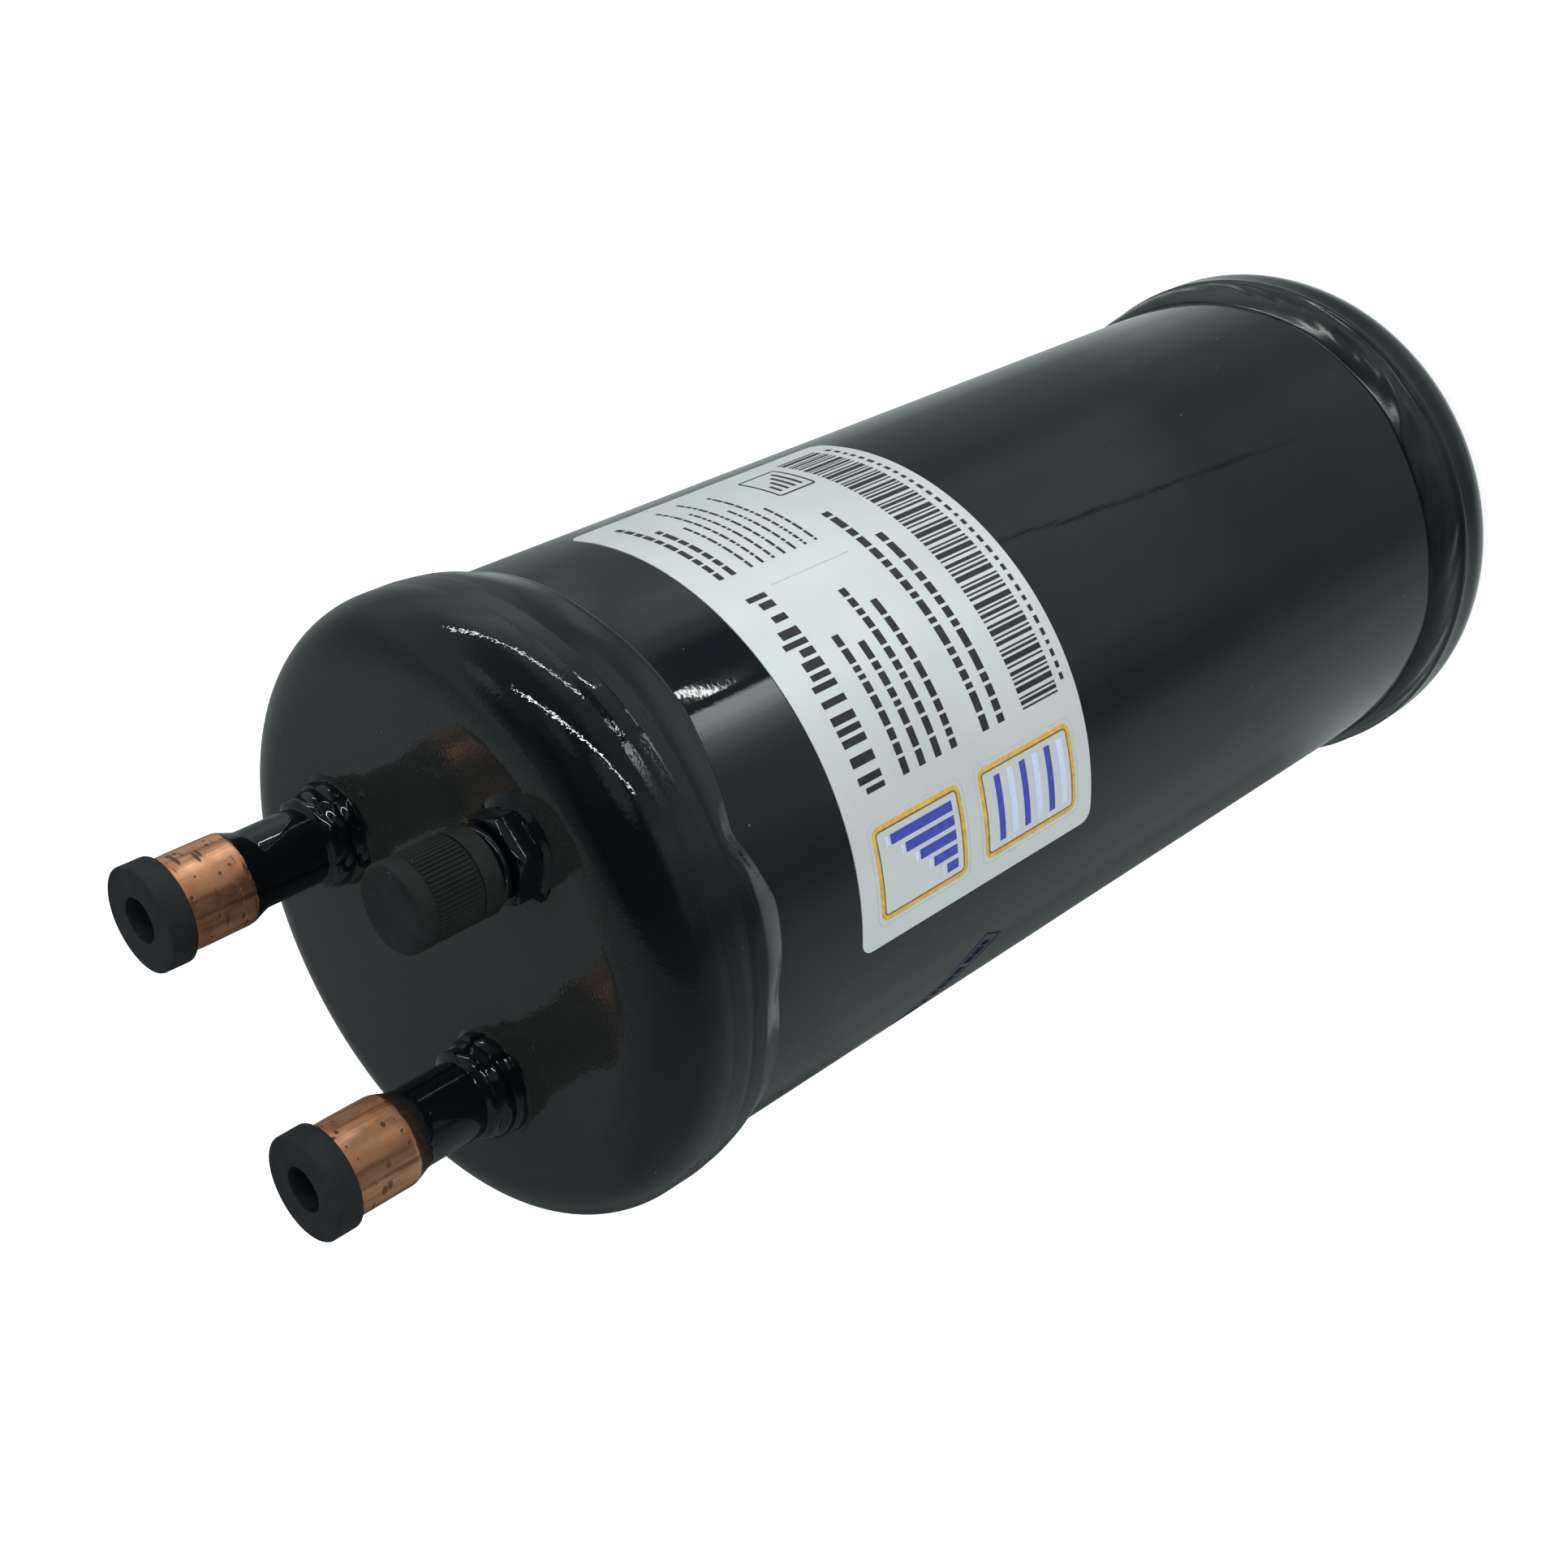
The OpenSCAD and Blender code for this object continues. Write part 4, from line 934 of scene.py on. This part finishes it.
# ---------------------------------------------------------------- floor, light, camera
def studio():
    sc = bpy.context.scene
    sc.view_settings.view_transform = "Standard"
    sc.view_settings.look = "None"
    sc.view_settings.exposure = 0.0
    sc.view_settings.gamma = 1.0

    me = bpy.data.meshes.new("floor")
    s = 6.0
    me.from_pydata([(-s, -s, -0.0002), (s, -s, -0.0002), (s, s, -0.0002), (-s, s, -0.0002)], [], [(0, 1, 2, 3)])
    floor = bpy.data.objects.new("floor", me)
    sc.collection.objects.link(floor)
    k = Mat("floor_white")
    k.set(Base_Color=k.mix(k.range(k.noise(3.0, 2), 0.3, 0.7, 0, 1), (0.84, 0.84, 0.84), (0.86, 0.86, 0.86)), Roughness=0.9)
    k.set(Emission_Color=(1, 1, 1), Emission_Strength=0.75)
    me.materials.append(k.m)
    floor.visible_glossy = False
    floor.visible_shadow = False

    w = bpy.data.worlds.new("studio")
    sc.world = w
    w.use_nodes = True
    t = w.node_tree
    bg = t.nodes["Background"]
    d = t.nodes.new("ShaderNodeTexCoord").outputs["Generated"]

    def calc(op, a, b=None):
        n = t.nodes.new("ShaderNodeMath")
        n.operation = op
        for i, v in enumerate((a, b)):
            if isinstance(v, bpy.types.NodeSocket):
                t.links.new(v, n.inputs[i])
            elif v is not None:
                n.inputs[i].default_value = v
        return n.outputs[0]

    def fade(v, a, b):
        n = t.nodes.new("ShaderNodeMapRange")
        n.interpolation_type = "SMOOTHSTEP"
        t.links.new(v, n.inputs["Value"])
        n.inputs["From Min"].default_value, n.inputs["From Max"].default_value = a, b
        return n.outputs[0]

    def blend(fac, a, b):
        n = t.nodes.new("ShaderNodeMix")
        n.data_type = "RGBA"
        t.links.new(fac, n.inputs[0])
        for sck, v in ((n.inputs[6], a), (n.inputs[7], b)):
            if isinstance(v, bpy.types.NodeSocket):
                t.links.new(v, sck)
            else:
                sck.default_value = (*v, 1)
        return n.outputs[2]

    xyz = t.nodes.new("ShaderNodeSeparateXYZ")
    t.links.new(d, xyz.inputs[0])
    turn = calc("MULTIPLY_ADD", calc("ARCTAN2", xyz.outputs[1], xyz.outputs[0]), 1 / TAU)
    turn.node.inputs[2].default_value = 0.5

    def walls(levels):
        """Soft grey walls around the room: (azimuth in degrees, level)."""
        n = t.nodes.new("ShaderNodeValToRGB")
        n.color_ramp.interpolation = "EASE"
        e = n.color_ramp.elements
        while len(e) < len(levels):
            e.new(0.5)
        for x, (az, v) in zip(e, levels):
            x.position = (az + 180) / 360
            x.color = (v * 0.88, v * 1.0, v * 1.0, 1)
        t.links.new(turn, n.inputs[0])
        return n.outputs[0]

    upper = walls([(-180, 0.28), (-160, 0.23), (-146, 0.05), (-128, 0.01), (-100, 0.01), (-72, 0.05), (-45, 0.12), (-26, 0.20), (-8, 0.42), (14, 0.43), (34, 0.24), (70, 0.30), (96, 0.15), (124, 0.20), (150, 0.27), (180, 0.28)])
    middle = walls([(-180, 0.34), (-157, 0.24), (-140, 0.065), (-124, 0.20), (-108, 0.42), (-90, 0.28), (-75, 0.22), (-58, 0.28), (-42, 0.42), (-26, 0.55), (-8, 0.72), (6, 0.50), (22, 0.30), (38, 0.30), (55, 0.27), (80, 0.24), (104, 0.08), (125, 0.22), (145, 0.29), (165, 0.34), (180, 0.34)])
    lower = walls([(-180, 0.39), (-165, 0.35), (-140, 0.11), (-128, 0.22), (-112, 0.40), (-84, 0.44), (-60, 0.50), (-35, 0.40), (-12, 0.22), (8, 0.24), (28, 0.28), (45, 0.42), (55, 0.45), (80, 0.30), (104, 0.13), (125, 0.18), (141, 0.30), (158, 0.38), (180, 0.39)])
    deep = walls([(-180, 0.42), (-165, 0.33), (-138, 0.16), (-112, 0.24), (-60, 0.30), (-35, 0.22), (-8, 0.24), (8, 0.36), (28, 0.52), (45, 0.60), (55, 0.60), (80, 0.50), (104, 0.45), (135, 0.50), (158, 0.48), (180, 0.42)])
    sky = blend(fade(xyz.outputs[2], -0.795, -0.762), deep, lower)
    ground = walls([(-180, 0.58), (-165, 0.46), (-138, 0.27), (-112, 0.34), (-60, 0.42), (-35, 0.36), (-8, 0.38), (8, 0.52), (45, 0.78), (80, 0.66), (104, 0.60), (135, 0.66), (180, 0.58)])
    sky = blend(fade(xyz.outputs[2], -0.90, -0.84), ground, sky)
    sky = blend(fade(xyz.outputs[2], -0.635, -0.57), sky, middle)
    sky = blend(fade(xyz.outputs[2], -0.26, 0.0), sky, upper)
    # a doorway: dark beyond, with a bright upright edge that fades along the wall beside it
    door = calc("SUBTRACT", fade(xyz.outputs[2], -0.667, -0.643), fade(xyz.outputs[2], -0.612, -0.594))
    sky = blend(door, sky, walls([(-180, 0.39), (-165, 0.35), (-140, 0.13), (-128, 0.22), (-112, 0.34), (-100, 0.36), (-91, 0.45), (-84, 0.55), (-71.6, 0.55), (-70.4, 0.05), (-47, 0.05), (-40, 0.34), (-31, 0.66), (-20, 0.70), (-11, 0.50), (-3, 0.40), (6, 0.34), (20, 0.29), (28, 0.28), (45, 0.42), (55, 0.45), (80, 0.30), (104, 0.13), (125, 0.22), (141, 0.31), (158, 0.38), (180, 0.39)]))
    sky = blend(calc("MULTIPLY", door, walls([(-180, 0.0), (-98, 0.0), (-91, 0.03), (-87, 0.12), (-83, 0.26), (-79, 0.62), (-76, 0.95), (-71.6, 1.0), (-70.4, 0.0), (180, 0.0)])), sky, (4.3, 4.8, 4.8))

    # a loose cable that hangs in front of the wall
    n = t.nodes.new("ShaderNodeTexNoise")
    t.links.new(d, n.inputs["Vector"])
    n.inputs["Scale"].default_value, n.inputs["Detail"].default_value = 105.0, 1.0
    off = calc("MULTIPLY_ADD", xyz.outputs[2], -0.4833)
    off.node.inputs[2].default_value = -0.6839
    off = calc("ADD", calc("ADD", turn, off), calc("MULTIPLY", calc("SUBTRACT", n.outputs[0], 0.5), 0.017))
    near = calc("SUBTRACT", 1.0, fade(calc("ABSOLUTE", off), 0.0009, 0.0024))
    reach = calc("MULTIPLY", fade(xyz.outputs[2], -0.84, -0.775), calc("SUBTRACT", 1.0, fade(xyz.outputs[2], -0.722, -0.716)))
    sky = blend(calc("MULTIPLY", near, reach), sky, (0.03, 0.035, 0.04))

    def lobe(az, el, inner, outer):
        """1 around a direction, fading to 0."""
        n = t.nodes.new("ShaderNodeVectorMath")
        n.operation = "DOT_PRODUCT"
        t.links.new(d, n.inputs[0])
        a, e = math.radians(az), math.radians(el)
        n.inputs[1].default_value = (math.cos(a) * math.cos(e), math.sin(a) * math.cos(e), math.sin(e))
        return fade(n.outputs["Value"], math.cos(math.radians(outer)), math.cos(math.radians(inner)))

    # glow around the tubes and the dark part of the ceiling
    for az, el, inner, outer, level in ((-84, 8, 6, 15, 0.36), (-58, 27, 3, 10, 0.30), (-17, 38, 3, 9, 0.60), (-70, 78, 12, 26, 0.012), (-25, 64, 6, 22, 0.05), (-52, 52, 3, 11, 0.012)):
        sky = blend(lobe(az, el, inner, outer), sky, (level * 0.9, level, level))
    t.links.new(sky, bg.inputs["Color"])
    bg.inputs["Strength"].default_value = 1.0

    def area(name, az, el, dist, size, size_y, power, target=(0, 0, 0.15), gloss=True):
        l = bpy.data.lights.new(name, "AREA")
        l.shape = "RECTANGLE"
        l.size, l.size_y, l.energy = size, size_y, power
        o = bpy.data.objects.new(name, l)
        sc.collection.objects.link(o)
        a, e = math.radians(az), math.radians(el)
        tgt = Vector(target)
        o.location = tgt + dist * Vector((math.cos(a) * math.cos(e), math.sin(a) * math.cos(e), math.sin(e)))
        o.rotation_mode = "QUATERNION"
        o.rotation_quaternion = (tgt - o.location).to_track_quat("-Z", "Y")
        o.visible_camera = False
        o.visible_glossy = gloss
        return o

    def strip(name, ends, width, radiance, dist=1.5, target=(0, 0, 0.2)):
        """A long soft tube of light between two directions (azimuth, elevation)."""
        tgt = Vector(target)
        p = [tgt + dist * Vector((math.cos(math.radians(a)) * math.cos(math.radians(e)), math.sin(math.radians(a)) * math.cos(math.radians(e)), math.sin(math.radians(e)))) for a, e in ends]
        y = (p[1] - p[0]).normalized()
        mid = (p[0] + p[1]) / 2
        z = (mid - tgt).normalized()
        x = y.cross(z).normalized()
        z = x.cross(y)
        l = bpy.data.lights.new(name, "AREA")
        l.shape = "RECTANGLE"
        l.size, l.size_y = width, (p[1] - p[0]).length
        l.energy = radiance * math.pi * l.size * l.size_y
        o = bpy.data.objects.new(name, l)
        sc.collection.objects.link(o)
        o.matrix_world = Matrix.Translation(mid) @ Matrix((x, y, z)).transposed().to_4x4()
        o.visible_camera = False
        return o

    # soft light for floor, label and matt parts, kept out of the mirror-like enamel
    area("overhead_soft", 0, 90, 2.2, 2.6, 2.6, 46, gloss=False)
    area("front_soft", -104, 18, 1.8, 1.4, 1.4, 9.5, gloss=False)
    # tubes that the gloss shows as highlight lines
    strip("tube_near", [(-37, 29), (-89, -11)], 0.023, 40)
    strip("tube_far", [(-8.5, 6.5), (-49, -29)], 0.021, 27)
    strip("tube_bend", [(-48.5, -29), (-49.7, -33.2)], 0.020, 30)
    strip("tube_end", [(-61.2, -35.8), (-67.9, -37.1)], 0.012, 24)

    cam = bpy.data.cameras.new("camera")
    cam.lens, cam.sensor_width, cam.sensor_fit = 50.96, 36.0, "AUTO"
    cam.clip_start, cam.clip_end = 0.01, 50
    o = bpy.data.objects.new("camera", cam)
    sc.collection.objects.link(o)
    rot = Matrix(((-0.544095, 0.83015, -0.121702), (-0.479494, -0.426688, -0.766827), (-0.68851, -0.358871, 0.630211)))
    o.matrix_world = Matrix.Translation((-0.0527583, -0.3038971, 0.4170054)) @ rot.to_4x4()
    sc.camera = o


studio()
